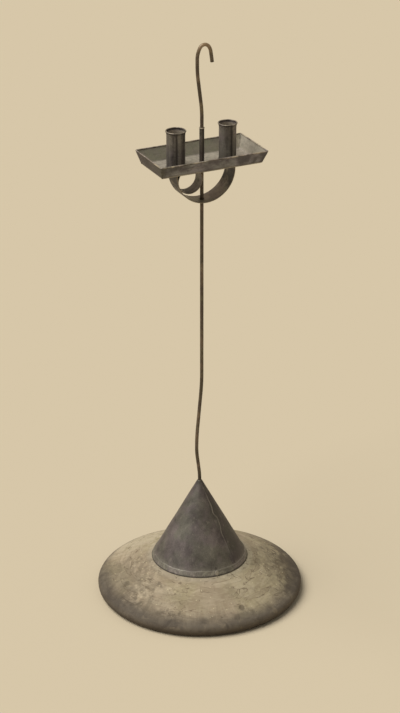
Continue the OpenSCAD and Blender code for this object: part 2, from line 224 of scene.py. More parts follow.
class StrapSettings(bpy.types.PropertyGroup):
    """Sizes and colours of the spring bow and the finger ring"""

    thickness: length("Thickness", "Thickness of the straps", 0.9 * MM)
    foot: length("Foot", "Length of the bow's feet", 7 * MM)
    hole: length("Hole", "Radius of the rod's hole", 2.55 * MM)
    light: colour("Light iron", "Brighter sheet iron", paint(126, 116, 102))
    dark: colour("Dark iron", "Darker sheet iron", paint(58, 52, 46))
    # Worn also colours the painted glint beside the rod's hole
    worn: colour("Worn edge", "Rubbed edges", paint(160, 147, 125))


class StageSettings(bpy.types.PropertyGroup):
    """The pale floor, the light and the camera"""

    size: length("Floor size", "Width of the floor", 16.0)
    paper: colour("Paper", "Colour of the floor and the background", paint(214, 198, 168))
    key: FloatProperty(name="Key light", description="Strength of the key light", default=2.7)
    fill: FloatProperty(
        name="Fill", description="Strength of the light from all round", default=0.28
    )
    lens: FloatProperty(
        name="Lens", description="Focal length", default=113.85, subtype="DISTANCE_CAMERA"
    )


# Small geometry helpers


def smooth(low, high, value):
    """Smooth step from 0 at low to 1 at high."""
    t = min(max((value - low) / (high - low), 0.0), 1.0)
    return t * t * (3 - 2 * t)


def bell(value, width):
    """1 at 0, falling off to both sides."""
    return math.exp(-((value / width) ** 2))


def ripple(point, size, octaves=3):
    """Smooth noise from about -1 to 1 whose lumps are about size across."""
    return noise.fractal(point / size, 0.8, 2.1, octaves)


def on_circle(radius, angle, z=0.0, centre=(0.0, 0.0)):
    return Vector((centre[0] + radius * math.cos(angle), centre[1] + radius * math.sin(angle), z))


def arc(centre, radius, start, end, steps):
    """Points of an arc in a plane, from angle start to angle end, both included."""
    return [
        Vector(
            (
                centre[0] + radius * math.cos(start + (end - start) * i / steps),
                centre[1] + radius * math.sin(start + (end - start) * i / steps),
            )
        )
        for i in range(steps + 1)
    ]


def between(start, end, steps):
    """Points of a straight line after start, up to and with end."""
    return [start + (end - start) * (i + 1) / steps for i in range(steps)]


def loft(rows, around=True, along=False):
    """Mesh through rows of points. around joins each row's ends, and along joins the last row
    to the first; rows that aren't joined along get flat ends."""
    made = bmesh.new()
    grid = [[made.verts.new(point) for point in row] for row in rows]
    count = len(rows[0])
    for i in range(len(rows) if along else len(rows) - 1):
        here, there = grid[i], grid[(i + 1) % len(rows)]
        for k in range(count if around else count - 1):
            made.faces.new((here[k], here[(k + 1) % count], there[(k + 1) % count], there[k]))
    if around and not along:
        made.faces.new(grid[0])
        made.faces.new(grid[-1][::-1])
    return made


def turned(profile, steps, centre=(0.0, 0.0)):
    """Mesh of a closed profile of (radius, height) points turned round an upright axis."""
    return loft(
        [
            [on_circle(p[0], 2 * math.pi * i / steps, p[1], centre) for p in profile]
            for i in range(steps)
        ],
        along=True,
    )


def piece(name, made, material):
    """Object from a finished bmesh: faces outwards, smooth, at the origin."""
    bmesh.ops.recalc_face_normals(made, faces=made.faces[:])
    mesh = bpy.data.meshes.new(name)
    made.to_mesh(mesh)
    made.free()
    mesh.shade_smooth()
    mesh.materials.append(material)
    made_object = bpy.data.objects.new(name, mesh)
    bpy.context.scene.collection.objects.link(made_object)
    return made_object


def settle(thing, modifiers):
    """Applies an object's modifiers by turning the result into its plain mesh."""
    bpy.context.view_layer.update()
    result = bpy.data.meshes.new_from_object(
        thing.evaluated_get(bpy.context.evaluated_depsgraph_get())
    )
    for modifier in modifiers:
        thing.modifiers.remove(modifier)
    thing.data = result
    return thing


def crease_smooth(thing, angle=math.radians(35)):
    """Smooth shading that keeps the piece's real corners sharp."""
    thing.data.set_sharp_from_angle(angle=angle)


def mark(thing, name, value_at):
    """Keeps a number for each vertex, which the material reads."""
    values = [value_at(vertex.co) for vertex in thing.data.vertices]
    layer = thing.data.attributes.new(name, "FLOAT", "POINT")
    layer.data.foreach_set("value", values)


def dress(thing, *nodes):
    """The piece stands for its CAD nodes and moves with their body; the nodes are hidden."""
    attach(thing, BODY[nodes[0]])
    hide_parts(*nodes)
    return thing


def cut_hole(thing, radius, x, low, high):
    """Cuts an upright round hole through a piece."""
    steps = 48
    rows = [[on_circle(radius, 2 * math.pi * k / steps, z, (x, 0)) for k in range(steps)]
            for z in (low, high)]
    cutter = piece("cutter", loft(rows), thing.data.materials[0])
    modifier = thing.modifiers.new("Hole", "BOOLEAN")
    modifier.operation = "DIFFERENCE"
    modifier.solver = "EXACT"
    modifier.object = cutter
    settle(thing, [modifier])
    bpy.data.objects.remove(cutter)


# Swept bars and beads


def swept_bar_tree():
    """Geometry nodes that sweep a round bar along a path and dent its surface inwards."""
    tree = bpy.data.node_groups.get("Swept Bar")
    if tree:
        return tree
    tree = bpy.data.node_groups.new("Swept Bar", "GeometryNodeTree")
    for name, kind in (
        ("Geometry", "Geometry"),
        ("Radius", "Float"),
        ("Sides", "Int"),
        ("Step", "Float"),
        ("Dent Depth", "Float"),
        ("Dent Size", "Float"),
        ("Seed", "Float"),
        ("Material", "Material"),
    ):
        tree.interface.new_socket(name, in_out="INPUT", socket_type="NodeSocket" + kind)
    tree.interface.new_socket("Geometry", in_out="OUTPUT", socket_type="NodeSocketGeometry")
    wire = Wiring(tree)
    given = wire.node("NodeGroupInput").outputs
    curve = wire.node("GeometryNodeMeshToCurve", {0: given["Geometry"]})
    even = wire.node("GeometryNodeResampleCurve", mode="LENGTH")
    tree.links.new(curve.outputs[0], even.inputs["Curve"])
    tree.links.new(given["Step"], even.inputs["Length"])
    ring = wire.node(
        "GeometryNodeCurvePrimitiveCircle", {"Resolution": given["Sides"], "Radius": given["Radius"]}
    )
    bar = wire.node(
        "GeometryNodeCurveToMesh",
        {"Curve": even.outputs[0], "Profile Curve": ring.outputs[0], "Fill Caps": True},
    )
    scale = wire.math("DIVIDE", 1.0, given["Dent Size"])
    lumps = wire.node(
        "ShaderNodeTexNoise",
        {"W": given["Seed"], "Scale": scale, "Detail": 2.0, "Roughness": 0.5},
        noise_dimensions="4D",
    )
    depth = wire.math("MULTIPLY", wire.math("SUBTRACT", lumps.outputs[0], 1.0), given["Dent Depth"])
    offset = wire.node(
        "ShaderNodeVectorMath",
        {0: wire.node("GeometryNodeInputNormal").outputs[0], "Scale": depth},
        operation="SCALE",
    )
    moved = wire.node(
        "GeometryNodeSetPosition", {"Geometry": bar.outputs[0], "Offset": offset.outputs[0]}
    )
    smoothed = wire.node("GeometryNodeSetShadeSmooth", {"Geometry": moved.outputs[0]})
    real = wire.node("GeometryNodeRealizeInstances", {"Geometry": smoothed.outputs[0]})
    coated = wire.node(
        "GeometryNodeSetMaterial", {"Geometry": real.outputs[0], "Material": given["Material"]}
    )
    wire.node("NodeGroupOutput", {"Geometry": coated.outputs[0]})
    return tree


def sweep(name, points, material, radius, closed=False, sides=24, step=1.0 * MM, dent=0.1 * MM,
          dent_size=6 * MM, seed=1.0):
    """A round bar or bead along a path, made by the Swept Bar tree."""
    path = bpy.data.meshes.new(name)
    count = len(points)
    edges = [(i, (i + 1) % count) for i in range(count if closed else count - 1)]
    path.from_pydata([tuple(point) for point in points], edges, [])
    thing = bpy.data.objects.new(name, path)
    bpy.context.scene.collection.objects.link(thing)
    modifier = thing.modifiers.new("Swept Bar", "NODES")
    tree = swept_bar_tree()
    modifier.node_group = tree
    values = {
        "Radius": radius, "Sides": sides, "Step": step, "Dent Depth": dent,
        "Dent Size": dent_size, "Seed": seed, "Material": material,
    }
    for item in tree.interface.items_tree:
        if item.item_type == "SOCKET" and item.in_out == "INPUT" and item.name in values:
            modifier[item.identifier] = values[item.name]
    settle(thing, [modifier])
    made = bmesh.new()
    made.from_mesh(thing.data)
    bmesh.ops.remove_doubles(made, verts=made.verts[:], dist=1e-6)
    bmesh.ops.recalc_face_normals(made, faces=made.faces[:])
    made.to_mesh(thing.data)
    made.free()
    crease_smooth(thing, math.radians(50))
    return thing


# Materials


class Wiring:
    """Short ways to add and join nodes in one tree."""

    def __init__(self, tree):
        self.tree = tree

    def node(self, kind, inputs=None, **settings):
        made = self.tree.nodes.new(kind)
        for key, value in settings.items():
            setattr(made, key, value)
        for key, value in (inputs or {}).items():
            if isinstance(value, bpy.types.NodeSocket):
                self.tree.links.new(value, made.inputs[key])
            else:
                made.inputs[key].default_value = value
        return made

    def math(self, operation, a, b=0.0, c=0.0, clamp=False):
        return self.node(
            "ShaderNodeMath", {0: a, 1: b, 2: c}, operation=operation, use_clamp=clamp
        ).outputs[0]

    def mix(self, factor, a, b, blend="MIX"):
        """Colour a turned into colour b by factor."""
        return self.node(
            "ShaderNodeMix", {0: factor, 6: a, 7: b}, data_type="RGBA", blend_type=blend
        ).outputs[2]

    def span(self, value, low, high, to_low=0.0, to_high=1.0):
        """Value from low to high as a smooth run from to_low to to_high."""
        return self.node(
            "ShaderNodeMapRange",
            {"Value": value, "From Min": low, "From Max": high, "To Min": to_low, "To Max": to_high},
            interpolation_type="SMOOTHSTEP",
        ).outputs[0]

    def filled(self, name, inputs):
        """Outputs of one of the shared groups, with its inputs given."""
        group = bpy.data.node_groups[name]
        return self.node("ShaderNodeGroup", inputs, node_tree=group).outputs

    def stretched(self, vector, scale):
        """Coordinates scaled by a different number along each axis."""
        return self.node(
            "ShaderNodeVectorMath", {0: vector, 1: scale}, operation="MULTIPLY"
        ).outputs[0]

    def lumps(self, vector, scale, detail, amount, distortion=0.0):
        """Noise centred on 0, from about -amount / 4 to amount / 4."""
        cloud = self.node(
            "ShaderNodeTexNoise",
            {"Vector": vector, "Scale": scale, "Detail": detail, "Roughness": 0.6,
             "Distortion": distortion},
        ).outputs[0]
        return self.math("MULTIPLY_ADD", cloud, amount, -amount / 2)


def rgba(value):
    return (*tuple(value)[:3], 1.0)


def shader_group(name, inputs, outputs):
    """An empty shader node group with named sockets, and its wiring."""
    tree = bpy.data.node_groups.new(name, "ShaderNodeTree")
    for label, kind, default in inputs:
        socket = tree.interface.new_socket(label, in_out="INPUT", socket_type="NodeSocket" + kind)
        if default is not None:
            socket.default_value = default
    for label, kind in outputs:
        tree.interface.new_socket(label, in_out="OUTPUT", socket_type="NodeSocket" + kind)
    wire = Wiring(tree)
    return wire, wire.node("NodeGroupInput").outputs, wire.node("NodeGroupOutput").inputs


def build_blotches():
    """Soft patches: 0 below Low, 1 above High of a noise."""
    wire, given, out = shader_group(
        "Blotches",
        [("Vector", "Vector", None), ("Scale", "Float", 20.0), ("Detail", "Float", 4.0),
         ("Distortion", "Float", 0.0), ("Low", "Float", 0.4), ("High", "Float", 0.6)],
        [("Mask", "Float")],
    )
    cloud = wire.node(
        "ShaderNodeTexNoise",
        {"Vector": given["Vector"], "Scale": given["Scale"], "Detail": given["Detail"],
         "Roughness": 0.6, "Distortion": given["Distortion"]},
    )
    wire.tree.links.new(wire.span(cloud.outputs[0], given["Low"], given["High"]), out["Mask"])


def build_cracks():
    """Thin wandering lines."""
    wire, given, out = shader_group(
        "Crack Lines",
        [("Vector", "Vector", None), ("Scale", "Float", 40.0), ("Width", "Float", 0.02),
         ("Wander", "Float", 0.01)],
        [("Mask", "Float")],
    )
    drift = wire.node(
        "ShaderNodeTexNoise",
        {"Vector": given["Vector"], "Scale": 55.0, "Detail": 5.0, "Roughness": 0.65},
    )
    centred = wire.node(
        "ShaderNodeVectorMath", {0: drift.outputs["Color"], 1: (0.5, 0.5, 0.5)}, operation="SUBTRACT"
    )
    shift = wire.node(
        "ShaderNodeVectorMath", {0: centred.outputs[0], "Scale": given["Wander"]}, operation="SCALE"
    )
    bent = wire.node(
        "ShaderNodeVectorMath", {0: given["Vector"], 1: shift.outputs[0]}, operation="ADD"
    )
    cells = wire.node(
        "ShaderNodeTexVoronoi", {"Vector": bent.outputs[0], "Scale": given["Scale"]},
        feature="DISTANCE_TO_EDGE",
    )
    line = wire.node(
        "ShaderNodeMapRange",
        {"Value": cells.outputs["Distance"], "From Min": 0.0, "From Max": given["Width"],
         "To Min": 1.0, "To Max": 0.0},
    )
    wire.tree.links.new(line.outputs[0], out["Mask"])


def build_spot():
    """One ragged stain at a place."""
    wire, given, out = shader_group(
        "Stain",
        [("Vector", "Vector", None), ("Centre", "Vector", None), ("Radius", "Float", 0.01),
         ("Ragged", "Float", 0.5)],
        [("Mask", "Float")],
    )
    away = wire.node(
        "ShaderNodeVectorMath", {0: given["Vector"], 1: given["Centre"]}, operation="DISTANCE"
    ).outputs["Value"]
    edge = wire.node(
        "ShaderNodeTexNoise",
        {"Vector": given["Vector"], "Scale": 130.0, "Detail": 4.0, "Roughness": 0.6},
    ).outputs[0]
    uneven = wire.math("MULTIPLY", wire.math("SUBTRACT", edge, 0.5), given["Ragged"])
    share = wire.math("ADD", wire.math("DIVIDE", away, given["Radius"]), uneven)
    wire.tree.links.new(wire.span(share, 1.0, 0.45), out["Mask"])


def build_pits():
    """Small round pits, with only some of the cells filled."""
    wire, given, out = shader_group(
        "Pits",
        [("Vector", "Vector", None), ("Scale", "Float", 200.0), ("Size", "Float", 0.2),
         ("Share", "Float", 0.3)],
        [("Mask", "Float")],
    )
    cells = wire.node("ShaderNodeTexVoronoi", {"Vector": given["Vector"], "Scale": given["Scale"]})
    split = wire.node("ShaderNodeSeparateColor", {0: cells.outputs["Color"]})
    chosen = wire.math("LESS_THAN", split.outputs[0], given["Share"])
    dot = wire.span(cells.outputs["Distance"], given["Size"], 0.0)
    wire.tree.links.new(wire.math("MULTIPLY", chosen, dot), out["Mask"])


def build_ring_strokes():
    """Long wavy brush strokes and hair lines that run round the upright axis."""
    wire, given, out = shader_group(
        "Ring Strokes",
        [("Vector", "Vector", None), ("Around", "Float", 4.0), ("Across", "Float", 150.0),
         ("Waver", "Float", 1.0), ("Detail", "Float", 4.0), ("Levels", "Float", 5.0),
         ("Width", "Float", 0.06)],
        [("Light", "Float"), ("Dark", "Float"), ("Lines", "Float")],
    )
    parts = wire.node("ShaderNodeSeparateXYZ", {0: given["Vector"]}).outputs
    flat = wire.node("ShaderNodeCombineXYZ", {0: parts[0], 1: parts[1]}).outputs[0]
    reach = wire.node("ShaderNodeVectorMath", {0: flat}, operation="LENGTH").outputs["Value"]
    way = wire.node("ShaderNodeVectorMath", {0: flat}, operation="NORMALIZE").outputs[0]
    turn = wire.node("ShaderNodeVectorMath", {0: way, "Scale": given["Around"]}, operation="SCALE")
    down = wire.math("MULTIPLY", wire.math("SUBTRACT", reach, parts[2]), given["Across"])
    place = wire.node(
        "ShaderNodeVectorMath",
        {0: turn.outputs[0], 1: wire.node("ShaderNodeCombineXYZ", {2: down}).outputs[0]},
        operation="ADD",
    ).outputs[0]
    strokes = wire.node(
        "ShaderNodeTexNoise",
        {"Vector": place, "Scale": 1.0, "Detail": given["Detail"], "Roughness": 0.5,
         "Distortion": given["Waver"]},
    ).outputs[0]
    wire.tree.links.new(wire.span(strokes, 0.53, 0.64), out["Light"])
    wire.tree.links.new(wire.span(strokes, 0.47, 0.36), out["Dark"])
    level = wire.math("PINGPONG", wire.math("MULTIPLY", strokes, given["Levels"]), 0.5)
    wire.tree.links.new(wire.span(level, given["Width"], 0.0), out["Lines"])


VIOLET = (1.05, 0.97, 1.03, 1.0)
OLIVE = (0.97, 1.01, 0.9, 1.0)
COLD = (0.92, 1.03, 1.22, 1.0)
MOSS = (0.94, 1.02, 0.85, 1.0)
WHITE = (1.0, 1.0, 1.0, 1.0)
NEAR_BLACK = (0.012, 0.01, 0.008, 1.0)


def build_old_metal():
    """Old tin or iron: patches, streaks, scratches, specks, tints, grime and rubbed edges. Where a
    piece's marks ask for it, the same inputs also lay painted light and painted shade.
    """
    wire, given, out = shader_group(
        "Old Metal",
        [("Vector", "Vector", None), ("Streaked", "Vector", None), ("Light", "Color", None),
         ("Dark", "Color", None), ("Worn", "Color", None), ("Patch Scale", "Float", 60.0),
         ("Contrast", "Float", 1.0), ("Tone", "Float", 0.0), ("Wear And Painted Light", "Float", 0.0),
         ("Grime And Painted Shade", "Float", 0.0), ("Cool", "Float", 0.0), ("Base Roughness", "Float", 0.5)],
        [("Color", "Color"), ("Roughness", "Float"), ("Height", "Float")],
    )
    vector = given["Vector"]
    broad = wire.lumps(vector, given["Patch Scale"], 4.0, 2.4, 0.6)
    middling = wire.lumps(vector, wire.math("MULTIPLY", given["Patch Scale"], 3.6), 4.0, 1.3)
    streak = wire.lumps(given["Streaked"], 1.0, 3.0, 1.6)
    fine = wire.lumps(vector, 900.0, 3.0, 1.0)
    uneven = wire.math("ADD", wire.math("ADD", broad, middling), streak)
    tone = wire.math("MULTIPLY_ADD", uneven, given["Contrast"], 0.5)
    tone = wire.math("ADD", tone, given["Tone"], clamp=True)
    body = wire.mix(tone, given["Dark"], given["Light"])
    hue = wire.filled(
        "Blotches", {"Vector": vector, "Scale": 30.0, "Detail": 3.0, "Low": 0.4, "High": 0.6}
    )["Mask"]
    hue = wire.math("MULTIPLY_ADD", given["Cool"], -0.6, hue, clamp=True)
    body = wire.mix(1.0, body, wire.mix(hue, VIOLET, OLIVE), "MULTIPLY")
    cold = wire.math("ADD", given["Cool"], 0.0, clamp=True)
    body = wire.mix(1.0, body, wire.mix(cold, WHITE, COLD), "MULTIPLY")
    mossy = wire.math("MULTIPLY", given["Cool"], -1.0, clamp=True)
    body = wire.mix(1.0, body, wire.mix(mossy, WHITE, MOSS), "MULTIPLY")
    grain = wire.math("ADD", fine, 1.0)
    grain = wire.node("ShaderNodeCombineColor", {0: grain, 1: grain, 2: grain}).outputs[0]
    body = wire.mix(1.0, body, grain, "MULTIPLY")
    scratch = wire.filled(
        "Blotches",
        {"Vector": wire.stretched(given["Streaked"], (2.6, 2.6, 2.6)), "Scale": 1.0,
         "Detail": 2.0, "Low": 0.61, "High": 0.7},
    )["Mask"]
    flecks = wire.filled(
        "Pits", {"Vector": vector, "Scale": 330.0, "Size": 0.36, "Share": 0.1}
    )["Mask"]
    bright = wire.math(
        "MAXIMUM", wire.math("MULTIPLY", scratch, 0.22), wire.math("MULTIPLY", flecks, 0.15)
    )
    body = wire.mix(bright, body, given["Worn"])
    specks = wire.filled(
        "Pits", {"Vector": vector, "Scale": 420.0, "Size": 0.36, "Share": 0.14}
    )["Mask"]
    # dark specks and soiling from the marks, which on several pieces also lay painted shade
    dirt_and_painted_shade = wire.math("MAXIMUM", wire.math("MULTIPLY", specks, 0.5), given["Grime And Painted Shade"])
    body = wire.mix(dirt_and_painted_shade, body, wire.mix(0.7, given["Dark"], NEAR_BLACK))
    ragged = wire.filled(
        "Blotches", {"Vector": vector, "Scale": 260.0, "Detail": 4.0, "Low": 0.25, "High": 0.6}
    )["Mask"]
    # lighter towards the worn colour where the marks say: rubbed metal, and painted highlights
    rubbed = wire.math(
        "MULTIPLY", given["Wear And Painted Light"], wire.math("MULTIPLY_ADD", ragged, 0.6, 0.4), clamp=True
    )
    wire.tree.links.new(wire.mix(rubbed, body, given["Worn"]), out["Color"])
    rough = wire.math("MULTIPLY_ADD", broad, -0.16, given["Base Roughness"])
    rough = wire.math("MULTIPLY_ADD", dirt_and_painted_shade, 0.2, rough)
    rough = wire.math("MULTIPLY_ADD", rubbed, -0.12, rough, clamp=True)
    wire.tree.links.new(rough, out["Roughness"])
    height = wire.math("MULTIPLY_ADD", streak, 0.5, fine)
    wire.tree.links.new(wire.math("MULTIPLY_ADD", specks, -0.5, height), out["Height"])


def build_groups():
    for build in (build_blotches, build_cracks, build_spot, build_pits, build_ring_strokes,
                  build_old_metal):
        build()


def blank_material(name):
    """A material with its shader, its object coordinates and its wiring."""
    material = bpy.data.materials.new(name)
    material.use_nodes = True
    material.node_tree.nodes.clear()
    wire = Wiring(material.node_tree)
    shader = wire.node("ShaderNodeBsdfPrincipled")
    wire.node("ShaderNodeOutputMaterial", {"Surface": shader.outputs[0]})
    here = wire.node("ShaderNodeTexCoord").outputs["Object"]
    return material, wire, shader, here


def bumped(wire, shader, height, strength, distance):
    bump = wire.node(
        "ShaderNodeBump", {"Height": height, "Strength": strength, "Distance": distance}
    )
    wire.tree.links.new(bump.outputs[0], shader.inputs["Normal"])


def metal_material(name, light, dark, worn, streak, patch=60.0, contrast=1.0, roughness=0.58,
                   metallic=0.3, bump=0.3):
    """Old metal with its own colours and streak direction. It reads four marks: how light (tone),
    how rubbed, how soiled, and cool (1 violet grey, -1 olive). On several pieces the first two also
    carry painted light and shade, and the soiled one painted shade."""
    material = bpy.data.materials.get(name)
    if material:
        return material
    material, wire, shader, here = blank_material(name)
    tone, wear_and_painted_light, grime_and_painted_shade, cool = (
        wire.node("ShaderNodeAttribute", attribute_name=key).outputs["Fac"]
        for key in ("tone", "wear_and_painted_light", "grime_and_painted_shade", "cool")
    )
    look = wire.filled(
        "Old Metal",
        {"Vector": here, "Streaked": wire.stretched(here, streak), "Light": rgba(light),
         "Dark": rgba(dark), "Worn": rgba(worn), "Patch Scale": patch, "Contrast": contrast,
         "Tone": tone, "Wear And Painted Light": wear_and_painted_light, "Grime And Painted Shade": grime_and_painted_shade, "Cool": cool, "Base Roughness": roughness},
    )
    wire.tree.links.new(look["Color"], shader.inputs["Base Color"])
    wire.tree.links.new(look["Roughness"], shader.inputs["Roughness"])
    shader.inputs["Metallic"].default_value = metallic
    bumped(wire, shader, look["Height"], bump, 0.2 * MM)
    return material


def weight_material(settings):
    """Cast stone brushed round: mottled, with hair lines, stains, pits and a grimy edge that is
    partly painted shade, darkest at the bottom; painted shade on the right side and painted light at
    the back.
    """
    material, wire, shader, here = blank_material("crackled_stone")
    parts = wire.node("ShaderNodeSeparateXYZ", {0: here}).outputs
    flat = wire.node("ShaderNodeCombineXYZ", {0: parts[0], 1: parts[1]}).outputs[0]
    reach = wire.node("ShaderNodeVectorMath", {0: flat}, operation="LENGTH").outputs["Value"]

    def blotch(scale, low, high, detail=4.0, distortion=0.0):
        return wire.filled(
            "Blotches",
            {"Vector": here, "Scale": scale, "Detail": detail, "Distortion": distortion,
             "Low": low, "High": high},
        )["Mask"]

    def over(body, mask, amount, tint):
        return wire.mix(wire.math("MULTIPLY", mask, amount), body, rgba(tint))

    def spotted(body, spots, tint):
        for x, y, z, radius, amount in spots:
            spot = wire.filled(
                "Stain",
                {"Vector": here, "Centre": (x * MM, y * MM, z * MM), "Radius": radius * MM,
                 "Ragged": 2.2},
            )["Mask"]
            body = over(body, spot, amount, tint)
        return body

    wide = wire.filled(
        "Ring Strokes",
        {"Vector": here, "Around": 1.7, "Across": 50.0, "Waver": 0.5, "Detail": 3.0, "Levels": 5.0,
         "Width": 0.065},
    )
    narrow = wire.filled(
        "Ring Strokes",
        {"Vector": here, "Around": 7.0, "Across": 190.0, "Waver": 1.0, "Levels": 5.0, "Width": 0.2},
    )
    inward = wire.filled(
        "Ring Strokes",
        {"Vector": here, "Around": 13.0, "Across": 20.0, "Waver": 1.0, "Levels": 4.0, "Width": 0.1},
    )
    near_edge = wire.span(reach, 90 * MM, 112 * MM)
    small = blotch(150.0, 0.3, 0.7, 5.0)
    body = wire.mix(blotch(20.0, 0.24, 0.76, 5.0, 0.8), rgba(settings.shade), rgba(settings.face))
    tint = wire.mix(blotch(13.0, 0.4, 0.6, 3.0), (1.01, 0.99, 1.0, 1.0), (0.97, 1.0, 0.9, 1.0))
    body = wire.mix(1.0, body, tint, "MULTIPLY")
    body = over(body, small, 0.14, settings.pale)
    body = over(body, wide["Light"], 0.28, settings.pale)
    body = over(body, wide["Dark"], 0.45, settings.shade)
    body = over(body, narrow["Light"], 0.24, settings.pale)
    body = over(body, narrow["Dark"], 0.34, settings.dull)
    body = over(body, blotch(17.0, 0.52, 0.72, 5.0, 0.8), 0.4, settings.moss)
    body = over(body, blotch(38.0, 0.58, 0.74, 6.0, 1.5), 0.4, settings.stain)
    strokes = wire.math("MULTIPLY", near_edge, inward["Dark"])
    body = over(body, strokes, 0.28, settings.stain)
    body = over(body, wire.math("MULTIPLY", near_edge, inward["Light"]), 0.22, settings.pale)
    body = over(body, wire.span(reach, 71 * MM, 62 * MM), 0.4, settings.halo)
    # pale patches and painted light at the back, then stains and painted shade on the right
    body = spotted(body, PALE_PATCHES_AND_PAINTED_LIGHT, settings.pale)
    body = spotted(body, STAINS_AND_PAINTED_SHADE, settings.stain)
    hair = wire.math("MULTIPLY", wide["Lines"], blotch(18.0, 0.42, 0.5))
    thin = wire.math("MULTIPLY", narrow["Lines"], blotch(30.0, 0.6, 0.66))
    crackle = wire.filled(
        "Crack Lines", {"Vector": here, "Scale": 44.0, "Width": 0.025, "Wander": 0.04}
    )["Mask"]
    crackle = wire.math("MULTIPLY", crackle, blotch(21.0, 0.52, 0.6))
    body = over(body, hair, 0.75, settings.crack)
    body = over(body, thin, 0.25, settings.crack)
    body = over(body, crackle, 0.4, settings.crack)
    dots = wire.filled("Pits", {"Vector": here, "Scale": 340.0, "Size": 0.42, "Share": 0.07})["Mask"]
    body = over(body, dots, 0.75, settings.dot)
    pits = wire.filled("Pits", {"Vector": here, "Scale": 290.0, "Size": 0.36, "Share": 0.08})["Mask"]
    body = over(body, pits, 0.75, settings.stain)
    # the rounded edge darkens, partly soiling and partly painted shade where it turns down; the back
    # edge is kept lighter as painted light
    wander = wire.lumps(here, 40.0, 5.0, 20 * MM)
    painted_light_back = wire.span(parts[1], 30 * MM, 110 * MM, 0.0, -9 * MM)
    wander = wire.math("ADD", wander, painted_light_back)
    edge = wire.span(wire.math("ADD", reach, wander), 106 * MM, 127.5 * MM)
    body = over(body, edge, 0.92, settings.rim)
    paler = wire.math("MULTIPLY", edge, blotch(85.0, 0.55, 0.7, 4.0, 1.0))
    body = over(body, paler, 0.35, settings.shade)
    blots = wire.math("MULTIPLY", edge, blotch(60.0, 0.45, 0.65, 5.0, 1.0))
    body = over(body, blots, 0.5, settings.blot)
    body = spotted(body, EDGE_BLOTS_AND_PAINTED_SHADE, settings.blot)
    # painted shade along the bottom, near the floor
    body = over(body, wire.span(parts[2], 12 * MM, 4 * MM), 0.85, settings.blot)
    wire.tree.links.new(body, shader.inputs["Base Color"])
    fine = wire.lumps(here, 700.0, 4.0, 0.4)
    wire.tree.links.new(wire.math("ADD", fine, 0.86), shader.inputs["Roughness"])
    height = wire.math("MULTIPLY_ADD", small, 0.25, fine)
    height = wire.math("MULTIPLY_ADD", narrow["Light"], 0.25, height)
    height = wire.math("SUBTRACT", height, wire.math("MAXIMUM", crackle, hair))
    height = wire.math("MULTIPLY_ADD", pits, -0.8, height)
    bumped(wire, shader, height, 0.3, 0.35 * MM)
    return material


def cone_tin(settings):
    return metal_material(
        "old_cone_tin", settings.light, settings.dark, settings.solder, (90.0, 90.0, 18.0),
        patch=55.0, contrast=0.42,
    )


def solder_metal(settings):
    return metal_material(
        "dull_solder", settings.solder, settings.solder_dark, settings.solder,
        (300.0, 300.0, 300.0), patch=150.0, roughness=0.5, metallic=0.35, bump=0.5,
    )


def socket_tin(settings):
    return metal_material(
        "old_socket_tin", settings.light, settings.dark, settings.worn, (420.0, 420.0, 12.0),
        patch=80.0, contrast=0.6, roughness=0.5,
    )


def strap_iron(settings):
    return metal_material(
        "old_strap_iron", settings.light, settings.dark, settings.worn, (60.0, 300.0, 60.0),
        patch=80.0, contrast=0.8, roughness=0.52,
    )


def rod_iron(settings):
    return metal_material(
        "old_rod_iron", settings.light, settings.dark, settings.worn, (200.0, 200.0, 26.0),
        patch=90.0, roughness=0.5, bump=0.5,
    )


# The weight


def weight_profile(s, cone):
    """Closed outline of the weight as (radius, height) points, with the places in it between
    which the cast surface is free to wander."""
    chamfer = 0.6 * MM
    edge_centre = Vector((s.radius - s.edge, s.edge))
    foot = Vector((cone.foot_radius - cone.sheet, cone.foot))
    gap = (edge_centre - foot).length
    along = (s.dome**2 - (s.dome - s.edge) ** 2 + gap**2) / (2 * gap)
    side = math.sqrt(s.dome**2 - along**2)
    way = (edge_centre - foot) / gap
    centre = foot + way * along + Vector((way.y, -way.x)) * side
    to_edge = edge_centre - centre
    touch = math.atan2(to_edge.y, to_edge.x)
    top = math.asin((s.crown - centre.y) / s.dome)
    top = math.pi - top if centre.x > s.radius else top
    dome = arc(centre, s.dome, top, touch, 76)
    rounded = arc(edge_centre, s.edge, touch, -math.pi / 2, 22)[1:]
    outline = [Vector((s.bore, s.crown))] + between(Vector((s.bore, s.crown)), dome[0], 4)[:-1]
    free_from = len(outline)
    outline += dome + rounded
    free_to = len(outline)
    outline += between(rounded[-1], Vector((s.recess + chamfer, 0.0)), 6)
    outline.append(Vector((s.recess, chamfer)))
    outline += between(outline[-1], Vector((s.recess, s.recess_height)), 3)
    outline += between(outline[-1], Vector((s.bore, s.recess_height)), 3)
    outline += between(outline[-1], Vector((s.bore, s.crown)), 4)[:-1]
    return outline, free_from, free_to


# the large spots on the right, which faces away from the light, are painted shade; the rest are
# stains
STAINS_AND_PAINTED_SHADE = (  # x, y, z, radius in millimetres, how dark
    (-122, -17, 16, 11, 0.7), (-101, -1, 29, 6, 0.6), (57, -43, 41, 10, 0.4),
    (91, -63, 24, 8, 0.5), (84, -86, 18, 9, 0.4), (5, -110, 24, 5, 0.75),
    (-110, 30, 24, 10, 0.3), (60, -96, 22, 12, 0.25), (112, -40, 22, 34, 0.55),
    (-98, -62, 20, 22, 0.35), (118, 20, 18, 24, 0.35), (-40, -104, 20, 20, 0.2),
    (-110, 10, 22, 62, 0.48), (-90, -60, 22, 40, 0.25), (106, -50, 20, 56, 0.42),
    (-80, -30, 34, 12, 0.3),
)

